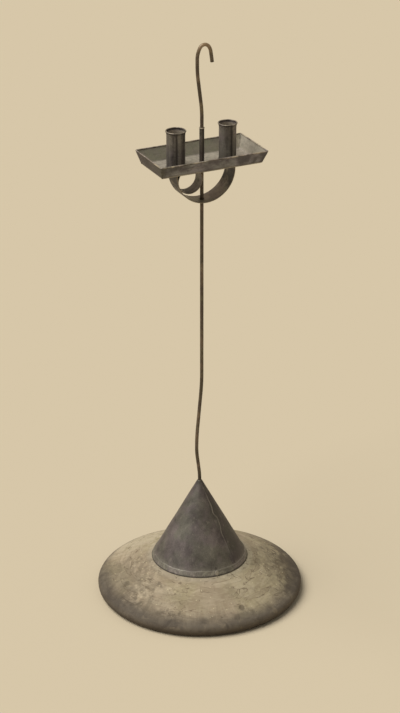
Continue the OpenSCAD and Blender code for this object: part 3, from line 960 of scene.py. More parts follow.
# the two spots at the back are painted light; the two at the front are pale patches
PALE_PATCHES_AND_PAINTED_LIGHT = (  # x, y, z, radius in millimetres, how light
    (30, 96, 26, 62, 0.75), (-40, 98, 26, 50, 0.6), (22, -84, 36, 18, 0.25),
    (-30, -88, 34, 15, 0.2),
)

# painted shade on the rounded edge, deepest on the right, with some dark blots
EDGE_BLOTS_AND_PAINTED_SHADE = (  # x, y, z, radius in millimetres, how dark
    (126, -28, 12, 46, 0.5), (104, -78, 12, 34, 0.4), (-126, -12, 12, 40, 0.25),
    (-96, -84, 12, 26, 0.3), (20, 128, 12, 40, 0.3),
)

CHIPS = (  # x, y, size, depth in millimetres, turn in degrees
    (4.5, -110, 5.2, 1.0, 20), (-118, -30, 4.0, 0.6, 75), (92, -64, 3.6, 0.5, 140),
    (60, 102, 4.4, 0.7, 200), (-40, 116, 3.8, 0.6, 290), (112, 34, 3.4, 0.5, 10),
)


def weight_dent(point, s):
    """How deep the cast surface lies under its outline at a point."""
    broad = 0.5 + 0.5 * ripple(point, 60 * MM, 2)
    lumpy = 0.5 + 0.5 * ripple(point + Vector((0.3, 0.1, 0.2)), 13 * MM, 3)
    deep = s.sag * (0.7 * broad + 0.3 * lumpy)
    soft = 0.6 * MM
    for x, y, size, depth, turn in CHIPS:
        away = Vector((point.x - x * MM, point.y - y * MM))
        if away.length < 3 * size * MM:
            reach = max(
                away.dot(Vector((math.cos(a), math.sin(a))))
                for a in (math.radians(turn + 120 * k) for k in range(3))
            )
            deep += depth * MM * smooth(size / 2 * MM + soft, size / 2 * MM - soft, reach)
    return deep


class CANDLE_OT_weight(bpy.types.Operator):
    """Builds the domed, crackled cast weight"""

    bl_idname = "candle_stand.weight"
    bl_label = "Cast Weight"

    def execute(self, context):
        s, cone = context.scene.candle_weight, context.scene.candle_cone
        outline, free_from, free_to = weight_profile(s, cone)
        steps = 360
        rows = []
        for i in range(steps):
            angle = 2 * math.pi * i / steps
            row = []
            for k, p in enumerate(outline):
                place = on_circle(p.x, angle, p.y)
                if free_from < k < free_to - 1:
                    tangent = outline[k + 1] - outline[k - 1]
                    out = Vector((-tangent.y, tangent.x)).normalized()
                    if out.y < 0 and p.x < s.radius - s.edge:
                        out.negate()
                    free = smooth(61.5 * MM, 67 * MM, p.x) * smooth(0.0, 4 * MM, p.y)
                    deep = free * weight_dent(place, s)
                    place -= deep * Vector((out.x * math.cos(angle), out.x * math.sin(angle), out.y))
                row.append(place)
            rows.append(row)
        thing = piece("cast_weight", loft(rows, along=True), weight_material(s))
        crease_smooth(thing)
        dress(thing, "base_weight")
        return {"FINISHED"}


# The cone and its foot


PATCH_ANGLE = math.radians(-94.5)
LAP_ANGLE = math.radians(-66)


def cone_radius(cone, z):
    share = (z - cone.foot) / (cone.top - cone.foot)
    return cone.foot_radius + (cone.top_radius - cone.foot_radius) * share


def band_top(cone, angle):
    """Height of the foot band's wavy upper edge."""
    wave = 0.5 + 0.5 * ripple(on_circle(cone.foot_radius, angle, 0), 16 * MM, 3)
    return cone.foot + cone.band * (1 - 0.24 * wave)


# the lighter patches on the lit left and the darker ones on the right are painted light and shade;
# the others are patches of the tin
CONE_PATCHES_AND_PAINTED_LIGHT = (  # middle in millimetres, size in millimetres, how light
    ((-37.8, -7.4, 85.5), 16, 0.35), ((-15.5, -18.9, 111.5), 9, -0.35), ((-8, -42, 86), 12, 0.3),
    ((20, -44, 72), 11, 0.25), ((-30, -36, 68), 12, -0.25), ((34, -30, 76), 16, -0.35),
    ((10, -24, 112), 10, -0.2), ((30, 34, 80), 15, -0.3), ((-20, 40, 84), 14, 0.3),
)


def cone_skin(cone, angle, z, lift=0.0):
    """Point on the dented cone's outer face, lift further out."""
    radius = cone_radius(cone, z)
    place = on_circle(radius, angle, z)
    free = smooth(0.0, 12 * MM, z - cone.foot) * smooth(0.0, 18 * MM, cone.top - z)
    dent = cone.dent * free * (0.8 * ripple(place, 34 * MM, 2) + 0.2 * ripple(place, 11 * MM, 2))
    return on_circle(radius + dent + lift, angle, z)


def painted_shade_side(p):
    """1 in the middle of the cone's side away from the key light, where painted shade goes, falling
    off to both sides.
    """
    away = (math.degrees(math.atan2(p.y, p.x)) + 15 + 180) % 360 - 180
    return bell(away, 39)


def burnt_spot(cone, p):
    """1 on the dark spot that the soldering left above the patch."""
    spot = cone_skin(cone, PATCH_ANGLE, cone.foot + cone.band + 0.4 * MM)
    return smooth(2.8 * MM, 1.2 * MM, (p - spot).length)


def cone_tone(cone, p):
    """How light the cone's tin is at a point: patches, with painted light on the lit left and
    painted shade on the side away from the light.
    """
    patches = sum(
        amount * bell((p - Vector(place) * MM).length, size * MM)
        for place, size, amount in CONE_PATCHES_AND_PAINTED_LIGHT
    )
    low = smooth(cone.top, cone.foot + 30 * MM, p.z)
    return patches - (0.56 + 0.28 * low) * painted_shade_side(p) - 0.22


LAP_WAY = (  # height, how far the raised edge lies right of the lap's middle, in millimetres
    (55, 0.6), (78, -0.4), (90, -1.0), (97.5, 1.3), (105.5, 1.7), (113.5, -1.9), (121, -0.4),
    (130, -1.1), (140, -1.7), (160, -1.7),
)


def lap_ridge(z):
    """Where the lap's raised edge runs at height z, measured right from the lap's middle."""
    for (low, start), (high, end) in zip(LAP_WAY, LAP_WAY[1:]):
        if z <= high * MM:
            break
    way = start + (end - start) * smooth(low * MM, high * MM, z)
    return way * MM + 0.25 * MM * ripple(Vector((0, 0, z)), 6 * MM, 2)


def lap_offset(point):
    """How far right of the lap's raised edge a point lies."""
    reach = math.hypot(point.x, point.y)
    return reach * math.sin(math.atan2(point.y, point.x) - LAP_ANGLE) - lap_ridge(point.z)


class CANDLE_OT_cone(bpy.types.Operator):
    """Builds the sheet cone, its lap seam, its foot band, the solder patch and the apex solder"""

    bl_idname = "candle_stand.cone"
    bl_label = "Cone"

    def execute(self, context):
        s = context.scene.candle_cone
        tin, solder = cone_tin(s), solder_metal(s)
        steps, levels = 224, 80
        heights = [s.foot + (s.top - s.foot) * i / levels for i in range(levels + 1)]
        rows = []
        for i in range(steps):
            angle = 2 * math.pi * i / steps
            rows.append(
                [cone_skin(s, angle, z) for z in heights]
                + [cone_skin(s, angle, z, -s.sheet) for z in reversed(heights)]
            )
        sheet = piece("cone_sheet", loft(rows, along=True), tin)
        crease_smooth(sheet)
        mark(sheet, "tone", lambda p: cone_tone(s, p))
        mark(sheet, "cool", lambda p: 0.2)
        mark(sheet, "wear_and_painted_light", lambda p: 0.3 * smooth(s.foot + 12 * MM, s.foot + 5 * MM, p.z))
        # darker at the point, painted shade on the side away from the light, and the burnt spot
        mark(sheet, "grime_and_painted_shade", lambda p: 0.55 * smooth(s.top - 6 * MM, s.top - 1 * MM, p.z)
             + 0.16 * painted_shade_side(p) + 0.9 * burnt_spot(s, p))
        dress(sheet, "base_cone")
        self.lap(s, tin)
        self.band(s, solder)
        self.patch(s, solder)
        self.apex(s, solder)
        return {"FINISHED"}

    def lap(self, s, tin):
        """The lap seam: a thin strip with a wavy raised edge."""
        low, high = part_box("cone_seam")
        half, columns, levels = s.lap_width / 2, 16, 110
        rows = []
        for i in range(levels + 1):
            z = low.z + (high.z - low.z) * i / levels
            radius = cone_radius(s, z)
            outer, inner = [], []
            for k in range(columns + 1):
                across = half * (2 * k / columns - 1)
                angle = LAP_ANGLE + math.asin(across / radius)
                away = across - lap_ridge(z)
                rise = bell(away, 0.8 * MM) if away < 0 else 0.15 + 0.85 * bell(away, 1.2 * MM)
                edge = smooth(0, 0.5 * MM, half - abs(across))
                rise = 0.12 + 0.88 * max(rise, 0.2) * (0.15 + 0.85 * edge)
                outer.append(cone_skin(s, angle, z, s.skin + (s.lap - s.skin) * rise))
                inner.append(cone_skin(s, angle, z, s.skin))
            rows.append(outer + inner[::-1])
        seam = piece("cone_lap", loft(rows), tin)
        crease_smooth(seam)
        mark(seam, "tone", lambda p: cone_tone(s, p))
        # painted highlight along the lap's raised edge, and painted shadow just right of it
        mark(seam, "wear_and_painted_light", lambda p: 0.62 * bell(lap_offset(p) + 0.1 * MM, 0.75 * MM)
             * smooth(s.foot + 22 * MM, s.foot + 48 * MM, p.z)
             * smooth(s.top - 8 * MM, s.top - 24 * MM, p.z))
        mark(seam, "grime_and_painted_shade", lambda p: 0.5 * bell(lap_offset(p) - 1.5 * MM, 0.9 * MM))
        mark(seam, "cool", lambda p: 0.3)
        dress(seam, "cone_seam")

    def band(self, s, solder):
        """The foot band, with an upper edge left wavy by the soldering iron."""
        steps = 288
        shape = ((0, 0.75), (0.06, 0.95), (0.3, 1), (0.62, 0.97), (0.76, 0.9), (0.86, 0.82),
                 (0.95, 0.66), (1, 0.4))
        rows = []
        for i in range(steps):
            angle = 2 * math.pi * i / steps
            seat = on_circle(s.foot_radius, angle, 0)
            top = band_top(s, angle)
            full = s.band_sheet * min(0.86 + 0.14 * ripple(seat + Vector((0, 0, 1)), 7 * MM, 2), 1)
            outer = [
                cone_skin(s, angle, s.foot + (top - s.foot) * h, s.skin + (full - s.skin) * t)
                for h, t in shape
            ]
            inner = [cone_skin(s, angle, s.foot + (top - s.foot) * h, s.skin) for h in (1, 0.5, 0)]
            rows.append(outer + inner)
        band = piece("cone_foot_band", loft(rows, along=True), solder)
        crease_smooth(band, math.radians(60))
        # painted shadow along the band's foot, with soiled patches and the burnt spot; painted
        # highlight lines across the middle and along the wavy top; darker in the upper half
        mark(band, "grime_and_painted_shade", lambda p: 0.9 * smooth(s.foot + 2.0 * MM, s.foot + 0.9 * MM, p.z)
             + 0.3 * smooth(0.1, 0.5, ripple(p, 9 * MM, 3)) + 0.9 * burnt_spot(s, p))
        mark(band, "wear_and_painted_light", lambda p: 0.8 * bell(p.z - s.foot - 0.42 * s.band, 0.8 * MM)
             + 0.4 * bell(p.z - band_top(s, math.atan2(p.y, p.x)) + 0.5 * MM, 0.7 * MM))
        mark(band, "tone", lambda p: -0.25
             - 0.3 * smooth(0.45 * s.band, 0.9 * s.band, p.z - s.foot))
        mark(band, "cool", lambda p: 0.35)
        dress(band, "cone_band")

    def patch(self, s, solder):
        """A dab of solder with a notch in it."""
        centre_z = s.foot + s.band / 2
        reach = extent("band_patch").z / 2
        notch_along, notch_up = 1.2 * MM, 1.1 * MM
        rings, steps = 8, 40
        rows = []
        for ring in range(rings + 1):
            share = 1 - ring / rings
            row = []
            for k in range(steps):
                turn = 2 * math.pi * k / steps
                wobble = 0.84 + 0.16 * ripple(Vector((math.cos(turn), math.sin(turn), 3)), 0.9, 2)
                r = reach * share * wobble
                along, up = r * math.cos(turn), r * math.sin(turn)
                z = centre_z + up
                angle = PATCH_ANGLE + along / s.foot_radius
                height = math.sqrt(max(1 - share**2, 0))
                from_notch = math.hypot(along - notch_along, up - notch_up)
                notch = smooth(1.3 * MM, 0.5 * MM, from_notch)
                lift = s.band_sheet + s.skin + (s.lap - s.skin) * height * (1 - 0.85 * notch)
                row.append(cone_skin(s, angle, z, lift))
            rows.append(row)
        peak = sum(rows.pop(), Vector()) / steps
        under = s.band_sheet + s.skin - 0.05 * MM
        foot = [cone_skin(s, math.atan2(p.y, p.x), p.z, under) for p in rows[0]]
        made = loft([foot] + rows)
        caps = [face for face in made.faces if len(face.verts) > 4]
        top = min(caps, key=lambda face: (face.calc_center_median() - peak).length)
        bmesh.ops.poke(made, faces=[top])
        patch = piece("solder_dab", made, solder)
        crease_smooth(patch, math.radians(60))

        def notch_distance(p):
            along = (math.atan2(p.y, p.x) - PATCH_ANGLE) * s.foot_radius
            return math.hypot(along - notch_along, p.z - centre_z - notch_up)

        mark(patch, "cool", lambda p: 0.3)
        mark(patch, "grime_and_painted_shade", lambda p: smooth(1.5 * MM, 0.5 * MM, notch_distance(p)))
        mark(patch, "wear_and_painted_light", lambda p: 1.0)
        dress(patch, "band_patch")

    def apex(self, s, solder):
        """Solder that runs up from the cone's point on to the rod."""
        low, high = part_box("apex_solder")
        shape = ((0, 0), (1, 0), (0.98, 0.3), (0.72, 0.52), (0.42, 0.8), (0.15, 1), (0, 1))
        steps = 64
        rows = []
        for i in range(steps):
            angle = 2 * math.pi * i / steps
            swell = 0.9 + 0.1 * ripple(on_circle(2 * MM, angle), 1.6 * MM, 2)
            wide, tall = (high.x - TIGHT_BORE) * swell, (high.z - low.z) * swell
            rows.append([
                on_circle(TIGHT_BORE + wide * w, angle, low.z + tall * h) for w, h in shape
            ])
        bead = piece("apex_bead", loft(rows, along=True), solder)
        crease_smooth(bead, math.radians(60))
        mark(bead, "grime_and_painted_shade", lambda p: 0.6)
        dress(bead, "apex_solder")


# The rod


def slow_bend(start, across, up, steps=14):
    """Points of a bend that leaves upwards and arrives upwards, across to one side."""
    roundness = 0.8
    span = abs(across)
    radius = roundness * (span * span + up * up) / (4 * span)
    straight = math.sqrt(span * span - 4 * radius * span + up * up)
    angle = math.atan2(straight, -2 * radius) - math.atan2(up, span - 2 * radius)
    side = math.copysign(1, across)
    first = [
        Vector((start[0] + side * radius * (1 - math.cos(angle * i / steps)), 0,
                start[1] + radius * math.sin(angle * i / steps)))
        for i in range(steps + 1)
    ]
    end = Vector((start[0] + across, 0, start[1] + up))
    last = [
        Vector((end.x - (p.x - start[0]), 0, end.z - (p.z - start[1]))) for p in reversed(first)
    ]
    return first + last


def rod_path(s):
    """Middle line of the rod from its foot to the tip of its hook."""
    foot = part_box("rod")[0].z
    above_cone, upright = 2.8 * MM, 0.5 * MM
    bend_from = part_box("base_cone")[1].z + above_cone
    path = [Vector((0, 0, foot)), Vector((0, 0, foot + 60 * MM))]
    path += slow_bend((0, bend_from), -s.foot_x, s.foot_z - bend_from)
    path += slow_bend(
        (-s.foot_x, s.foot_z + upright), s.run_x + s.foot_x, s.run_low - s.foot_z - upright
    )
    path += slow_bend((s.run_x, s.run_high), -s.run_x - s.hook_x, s.hook_z - s.run_high)
    rise = s.rise * math.sin(s.rise_turn) + s.crown * (1 - math.sin(s.rise_turn))
    path.append(Vector((-s.hook_x, 0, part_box("rod_hook")[1].z - s.radius - rise)))
    turns = (0.0, s.rise_turn, s.fall_turn, s.tip_turn)
    steps = 16
    for radius, first, last in zip((s.rise, s.crown, s.fall), turns, turns[1:]):
        start = path[-1]
        for i in range(1, steps + 1):
            turn = first + (last - first) * i / steps
            path.append(start + radius * Vector((
                math.cos(first) - math.cos(turn), 0, math.sin(turn) - math.sin(first)
            )))
    path.append(path[-1] + s.tip * Vector((math.sin(s.tip_turn), 0, math.cos(s.tip_turn))))
    return path


class CANDLE_OT_rod(bpy.types.Operator):
    """Builds the forged rod with its foot bend and its hook"""

    bl_idname = "candle_stand.rod"
    bl_label = "Rod"

    def execute(self, context):
        s = context.scene.candle_rod
        bar = sweep(
            "forged_rod", rod_path(s), rod_iron(s), s.radius, sides=28, step=1.6 * MM,
            dent=s.hammer, dent_size=9 * MM, seed=3.0,
        )
        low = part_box("rod_hook")[0].z
        mark(bar, "wear_and_painted_light", lambda p: 0.6 * smooth(low + 72 * MM, low + 87 * MM, p.z)
             + 0.25 * smooth(0.1, 0.5, ripple(p, 25 * MM, 3)))
        mark(bar, "tone", lambda p: -0.42)
        mark(bar, "grime_and_painted_shade", lambda p: 0.7 * smooth(163 * MM, 155 * MM, p.z))
        dress(bar, "rod", "rod_hook")
        return {"FINISHED"}


class CANDLE_OT_clamp(bpy.types.Operator):
    """Builds the hidden collar, washer and square nut that clamp the rod"""

    bl_idname = "candle_stand.clamp"
    bl_label = "Rod Clamp"

    def execute(self, context):
        iron = rod_iron(context.scene.candle_rod)
        for name, node in (("clamp_collar", "rod_collar"), ("clamp_washer", "rod_washer")):
            low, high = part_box(node)
            self.ring(name, node, high.x, low.z, high.z, iron)
        low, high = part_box("rod_nut")
        bevel, worn = 0.7 * MM, 0.2 * MM
        steps = 72
        turns = [2 * math.pi * k / steps for k in range(steps)]
        levels = ((low.z, bevel), (low.z + bevel, 0), (high.z - worn, 0), (high.z, worn))
        rows = [[self.square(high.x - inset, turn, z) for turn in turns] for z, inset in levels]
        rows += [[on_circle(TIGHT_BORE, turn, z) for turn in turns] for z in (high.z, low.z)]
        nut = piece("clamp_nut", loft(rows, along=True), iron)
        crease_smooth(nut)
        mark(nut, "wear_and_painted_light", lambda p: 0.5 * smooth(6 * MM, 8 * MM, math.hypot(p.x, p.y)))
        dress(nut, "rod_nut")
        return {"FINISHED"}

    def ring(self, name, node, outer, low, high, iron):
        soft = 0.4 * MM
        profile = [
            (TIGHT_BORE, low), (outer - soft, low), (outer, low + soft), (outer, high - soft),
            (outer - soft, high), (TIGHT_BORE, high),
        ]
        thing = piece(name, turned(profile, 96), iron)
        crease_smooth(thing)
        mark(thing, "wear_and_painted_light", lambda p: 0.5 * smooth(outer - 2 * soft, outer, math.hypot(p.x, p.y)))
        dress(thing, node)

    def square(self, half, angle, z):
        """Point of a square with blunt corners, in the direction angle."""
        c, s = math.cos(angle), math.sin(angle)
        power = 16
        reach = half / (abs(c) ** power + abs(s) ** power) ** (1 / power)
        return Vector((reach * c, reach * s, z))


# The tray


def tray_loop(half_x, half_y, corner, centre_x, z, side_steps=(22, 12), corner_steps=4):
    """Points of a rounded rectangle, the same count whatever its size."""
    points = []
    corners = ((1, -1), (1, 1), (-1, 1), (-1, -1))
    for k, (sx, sy) in enumerate(corners):
        cx, cy = centre_x + sx * (half_x - corner), sy * (half_y - corner)
        start = math.radians(-90 + 90 * k)
        for i in range(corner_steps + 1):
            a = start + math.radians(90) * i / corner_steps
            points.append(Vector((cx + corner * math.cos(a), cy + corner * math.sin(a), z)))
        next_x, next_y = corners[(k + 1) % 4]
        a = start + math.radians(90)
        cx, cy = centre_x + next_x * (half_x - corner), next_y * (half_y - corner)
        last = Vector((cx + corner * math.cos(a), cy + corner * math.sin(a), z))
        points += between(points[-1], last, side_steps[(k + 1) % 2])[:-1]
    return points


def tray_dent(point, s, centre_x):
    """How far the tray's walls bow in or out at a point; the floor and the corners stay put."""
    low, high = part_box("tray_pan")
    up = smooth(low.z + 2 * MM, high.z, point.z)
    half_x, half_y = s.floor_length / 2, s.floor_width / 2
    x, y = (point.x - centre_x) / half_x, point.y / half_y
    free_x = max(1 - abs(x), 0) ** 0.5 if abs(x) < 1 else 0
    free_y = max(1 - abs(y), 0) ** 0.5 if abs(y) < 1 else 0
    wave = ripple(point, 30 * MM, 2)
    return Vector((
        s.dent * up * free_y * wave * smooth(0.8, 0.95, abs(x)),
        s.dent * up * free_x * wave * smooth(0.75, 0.9, abs(y)),
        0,
    ))


WALL_PATCHES = (  # along and up the front wall, width in millimetres, how light
    (-58, 10, 8, -0.6), (-45, 4, 5, 0.3), (-37, 11, 6, -0.3), (-24, 5, 8, 0.5), (-10, 13, 5, -0.1),
    (3, 6, 9, 0.45), (13, 14, 5, -0.15), (24, 6, 8, 0.5), (38, 12, 7, -0.6), (47, 5, 2.5, 0.35),
    (53, 7, 2.5, -0.7), (58, 4, 2, 0.4), (63, 9, 3, -0.7),
)


class CANDLE_OT_tray(bpy.types.Operator):
    """Builds the tray's pan, its rolled rim and the solder in its corners"""

    bl_idname = "candle_stand.tray"
    bl_label = "Tray"

    def execute(self, context):
        s = context.scene.candle_tray
        tin = metal_material(
            "old_tray_tin", s.light, s.dark, s.floor, (26.0, 110.0, 160.0), patch=60.0,
            contrast=1.2, roughness=0.6, metallic=0.15,
        )
        rim = metal_material(
            "old_rim_tin", s.rim_light, s.rim_dark, s.rim_light, (90.0, 90.0, 90.0), patch=110.0,
            roughness=0.5, bump=0.4,
        )
        solder = solder_metal(context.scene.candle_cone)
        centre = middle("tray_pan")
        low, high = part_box("tray_pan")
        rim_low, rim_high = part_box("tray_rim_wire")
        self.pan(s, tin, centre.x, low.z, high.z, rim_high)
        rim_z = (rim_low.z + rim_high.z) / 2
        half_x, half_y = rim_high.x - centre.x - s.rim, rim_high.y - s.rim
        path = [
            p + tray_dent(p, s, centre.x)
            for p in tray_loop(half_x, half_y, 1.2 * MM, centre.x, rim_z, (60, 34), 5)
        ]
        wire = sweep(
            "rolled_rim", path, rim, s.rim, closed=True, sides=16, step=1.1 * MM,
            dent=0.22 * MM, dent_size=5 * MM, seed=5.0,
        )
        mark(wire, "wear_and_painted_light", lambda p: smooth(-0.1, 0.4, ripple(p, 14 * MM, 3)))
        mark(wire, "cool", lambda p: 0.7)
        mark(wire, "tone", lambda p: -0.15)
        # painted shade on the lower half of the rolled rim, with soiled patches
        mark(wire, "grime_and_painted_shade", lambda p: 0.75 * smooth(rim_z + 0.3 * MM, rim_z - 0.4 * MM, p.z)
             + 0.5 * smooth(0.05, 0.4, ripple(p + Vector((0, 0, 2)), 10 * MM, 3)))
        dress(wire, "tray_rim_wire")
        self.corners(s, solder, centre.x, low.z, rim_z, half_x, half_y)
        return {"FINISHED"}

    def pan(self, s, tin, centre_x, low, high, rim_high):
        """One sheet: hole, floor, folded walls, and back inside down to the hole."""
        floor_x, floor_y = s.floor_length / 2, s.floor_width / 2
        top_x = rim_high.x - centre_x - s.rim + s.sheet / 2
        top_y = rim_high.y - s.rim + s.sheet / 2
        slope = math.atan2(top_y - floor_y, high - low)
        inward = s.sheet / math.cos(slope)
        fold = 1.6 * MM
        deck = low + s.sheet

        def floor_loop(inset, z, corner=1.3 * MM):
            return tray_loop(floor_x - inset, floor_y - inset, corner, centre_x, z)

        def hole_loop(blend, inset, z):
            """From the round hole (blend 0) to the floor's outline (blend 1)."""
            loop = []
            for p in floor_loop(inset, z):
                away = Vector((p.x - centre_x, p.y))
                flat = (away.normalized() * s.hole).lerp(away, blend)
                loop.append(Vector((centre_x + flat.x, flat.y, z)))
            return loop

        def wall_loop(share, inset, corner):
            loop = tray_loop(
                floor_x + (top_x - floor_x) * share - inset,
                floor_y + (top_y - floor_y) * share - inset,
                corner, centre_x, low + (high - low) * share,
            )
            return [p + tray_dent(p, s, centre_x) for p in loop]

        blends = (0, 0.06, 0.15, 0.3, 0.45, 0.6, 0.75, 0.88, 0.96)
        levels = [k / 14 for k in range(2, 15)]
        rows = [hole_loop(b, 0, low) for b in blends]
        rows += [floor_loop(0.9 * MM, low), wall_loop(0.03, 0.35 * MM, 1.3 * MM)]
        rows += [wall_loop(share, 0, 1.3 * MM) for share in [0.08] + levels]
        rows += [wall_loop(share, inward, 1.0 * MM) for share in reversed(levels)]
        rows += [
            floor_loop(inset, deck + lift, 1.0 * MM)
            for inset, lift in (
                (inward - 0.2 * MM, 0.55 * MM), (inward + 0.15 * MM, 0.16 * MM), (fold, 0.0)
            )
        ]
        rows += [hole_loop(b, fold, deck) for b in reversed(blends)]
        pan = piece("pan_sheet", loft(rows, along=True), tin)
        crease_smooth(pan, math.radians(60))

        def inner_face(p):
            """1 on the walls' inner faces, 0 on their outer ones."""
            share = (p.z - low) / (high - low)
            x = abs(p.x - centre_x) - floor_x - (top_x - floor_x) * share
            y = abs(p.y) - floor_y - (top_y - floor_y) * share
            above_deck = smooth(deck, deck + 1 * MM, p.z)
            return smooth(-0.3 * s.sheet, -0.8 * s.sheet, max(x, y)) * above_deck

        def left_end(p):
            """1 on the left end's outer face, which gets painted shade."""
            return smooth(-floor_x + 1 * MM, -floor_x - 0.5 * MM, p.x - centre_x)

        def bright(p):
            """How much lighter the tin is: rubbed on the floor's upper face, with painted light on
            the right end's inner face, which faces the light, and faintly on the walls' inner faces."""
            floor = smooth(deck + 1.2 * MM, deck + 0.2 * MM, p.z)
            floor *= smooth(deck - 0.5 * MM, deck - 0.1 * MM, p.z)
            end = inner_face(p) * smooth(floor_x - 3 * MM, floor_x - 0.5 * MM, p.x - centre_x)
            streaky = 0.8 + 0.2 * ripple(Vector((p.x * 0.3, p.y, p.z)), 6 * MM, 3)
            return max(0.88 * floor, end, 0.25 * inner_face(p)) * streaky

        def tray_grime_and_shade(p):
            """How dark the tin gets: along the fold of the long walls, in soiled patches, and with
            painted shade on the left end's outer face.
            """
            fold_line = smooth(3 * MM, 0.6 * MM, abs(p.z - deck))
            fold_line *= smooth(floor_y - 4 * MM, floor_y - 0.5 * MM, abs(p.y))
            worn = 0.5 * smooth(0.1, 0.6, ripple(p + Vector((1, 0, 0)), 18 * MM, 4))
            return min(0.45 * fold_line + 0.6 * worn + 0.15 * left_end(p), 0.8)

        def wall_tone(p):
            """How light the front wall's patches are at a point."""
            if p.y > 0:
                return 0.0
            return sum(
                amount * bell(p.x - centre_x - x * MM, width * MM) * bell(p.z - low - z * MM, 9 * MM)
                for x, z, width, amount in WALL_PATCHES
            )

        # the walls' inner faces are painted lighter as painted light; the outer faces keep the front
        # wall's patches and painted shade on the left end
        def tone(p):
            inner = inner_face(p)
            return 1.05 * inner - 0.1 + (1 - inner) * (wall_tone(p) - left_end(p))

        def cool(p):
            if abs(p.z - deck) <= 0.6 * MM:
                return 0.1
            return 1.0 - 1.6 * inner_face(p) - 0.8 * left_end(p)

        mark(pan, "tone", tone)
        mark(pan, "cool", cool)
        mark(pan, "wear_and_painted_light", bright)
        mark(pan, "grime_and_painted_shade", tray_grime_and_shade)
        dress(pan, "tray_pan")

    def corners(self, s, solder, centre_x, low, rim_z, half_x, half_y):
        """A bead of solder down each folded corner."""
        radius, sunk = 0.9 * MM, 0.25 * MM
        end_z = rim_z - 2 * radius
        share = (end_z - low) / (rim_z - low)
        floor_x, floor_y = s.floor_length / 2, s.floor_width / 2
        end_x, end_y = floor_x + (half_x - floor_x) * share, floor_y + (half_y - floor_y) * share
        steps = 14
        beads = []
        for sx in (-1, 1):
            for sy in (-1, 1):
                start = Vector((centre_x + sx * floor_x, sy * floor_y, low + radius))
                end = Vector((centre_x + sx * end_x, sy * end_y, end_z))
                inward = sunk * Vector((sx, sy, 0))
                path = [start + (end - start) * i / steps - inward for i in range(steps + 1)]
                beads.append(sweep(
                    "corner_solder", path, solder, radius, sides=14, step=0.8 * MM,
                    dent=0.35 * MM, dent_size=2.2 * MM, seed=7.0 + sx + 2 * sy,
                ))
        joined = join("corner_solder", beads)
        mark(joined, "grime_and_painted_shade", lambda p: 0.7 + 0.2 * smooth(0.0, 0.5, ripple(p, 3 * MM, 2)))
        dress(joined, "tray_corner_solder")


def join(name, things):
    """Several meshes as one piece."""
    made = bmesh.new()
    for thing in things:
        made.from_mesh(thing.data)
    material = things[0].data.materials[0]
    for thing in things:
        bpy.data.objects.remove(thing)
    whole = piece(name, made, material)
    crease_smooth(whole, math.radians(60))
    return whole


# Candle sockets and the sleeve


def tube_profile(outer, wall, low, high, lip, lip_reach, flare, flare_height, roll):
    """Closed outline of a tube with a flared mouth and a lip rolled between two angles."""
    start, lip_z = high - flare_height, high - lip

    def flared(radius, share):
        return radius + flare * share * share, start + (lip_z - start) * share

    shares = (0.2, 0.4, 0.55, 0.7, 0.8, 0.86)
    below = (low, low + 0.5 * (start - low), start)
    outside = [(outer, z) for z in below] + [flared(outer, share) for share in shares]
    first, last = (math.radians(angle) for angle in roll)
    turns = [first + (last - first) * k / 20 for k in range(21)]
    rolled = [(lip_reach + lip * math.cos(a), lip_z + lip * math.sin(a)) for a in turns]
    inside = [flared(outer - wall, share) for share in reversed(shares)]
    return outside + rolled + inside + [(outer - wall, z) for z in reversed(below)]


# painted highlights and painted shade in upright bands round each tube; the darkest is the painted
# shadow beside the lap seam
TUBE_PAINTED_LIGHT_BANDS = {  # direction in degrees, half width, how light
    "left": (
        (-154, 12, 0.45), (-130, 9, -0.25), (-110, 4, -1.2), (-90, 12, 0.5), (-62, 10, -0.5),
        (-12, 14, 0.3), (40, 8, -0.4), (95, 12, 0.3), (150, 9, -0.35),
    ),
    "right": (
        (-152, 12, 0.5), (-118, 15, -0.2), (-91, 5, -1.1), (-72, 8, 0.65), (-50, 7, -0.4),
        (0, 12, 0.3), (55, 8, -0.35), (110, 12, 0.3), (165, 9, -0.3),
    ),
}


def tube_painted_light(side, angle):
    """Painted light and shade on a candle tube in a direction from its axis."""
    return sum(
        amount * bell((math.degrees(angle) - at + 180) % 360 - 180, width)
        for at, width, amount in TUBE_PAINTED_LIGHT_BANDS[side]
    )


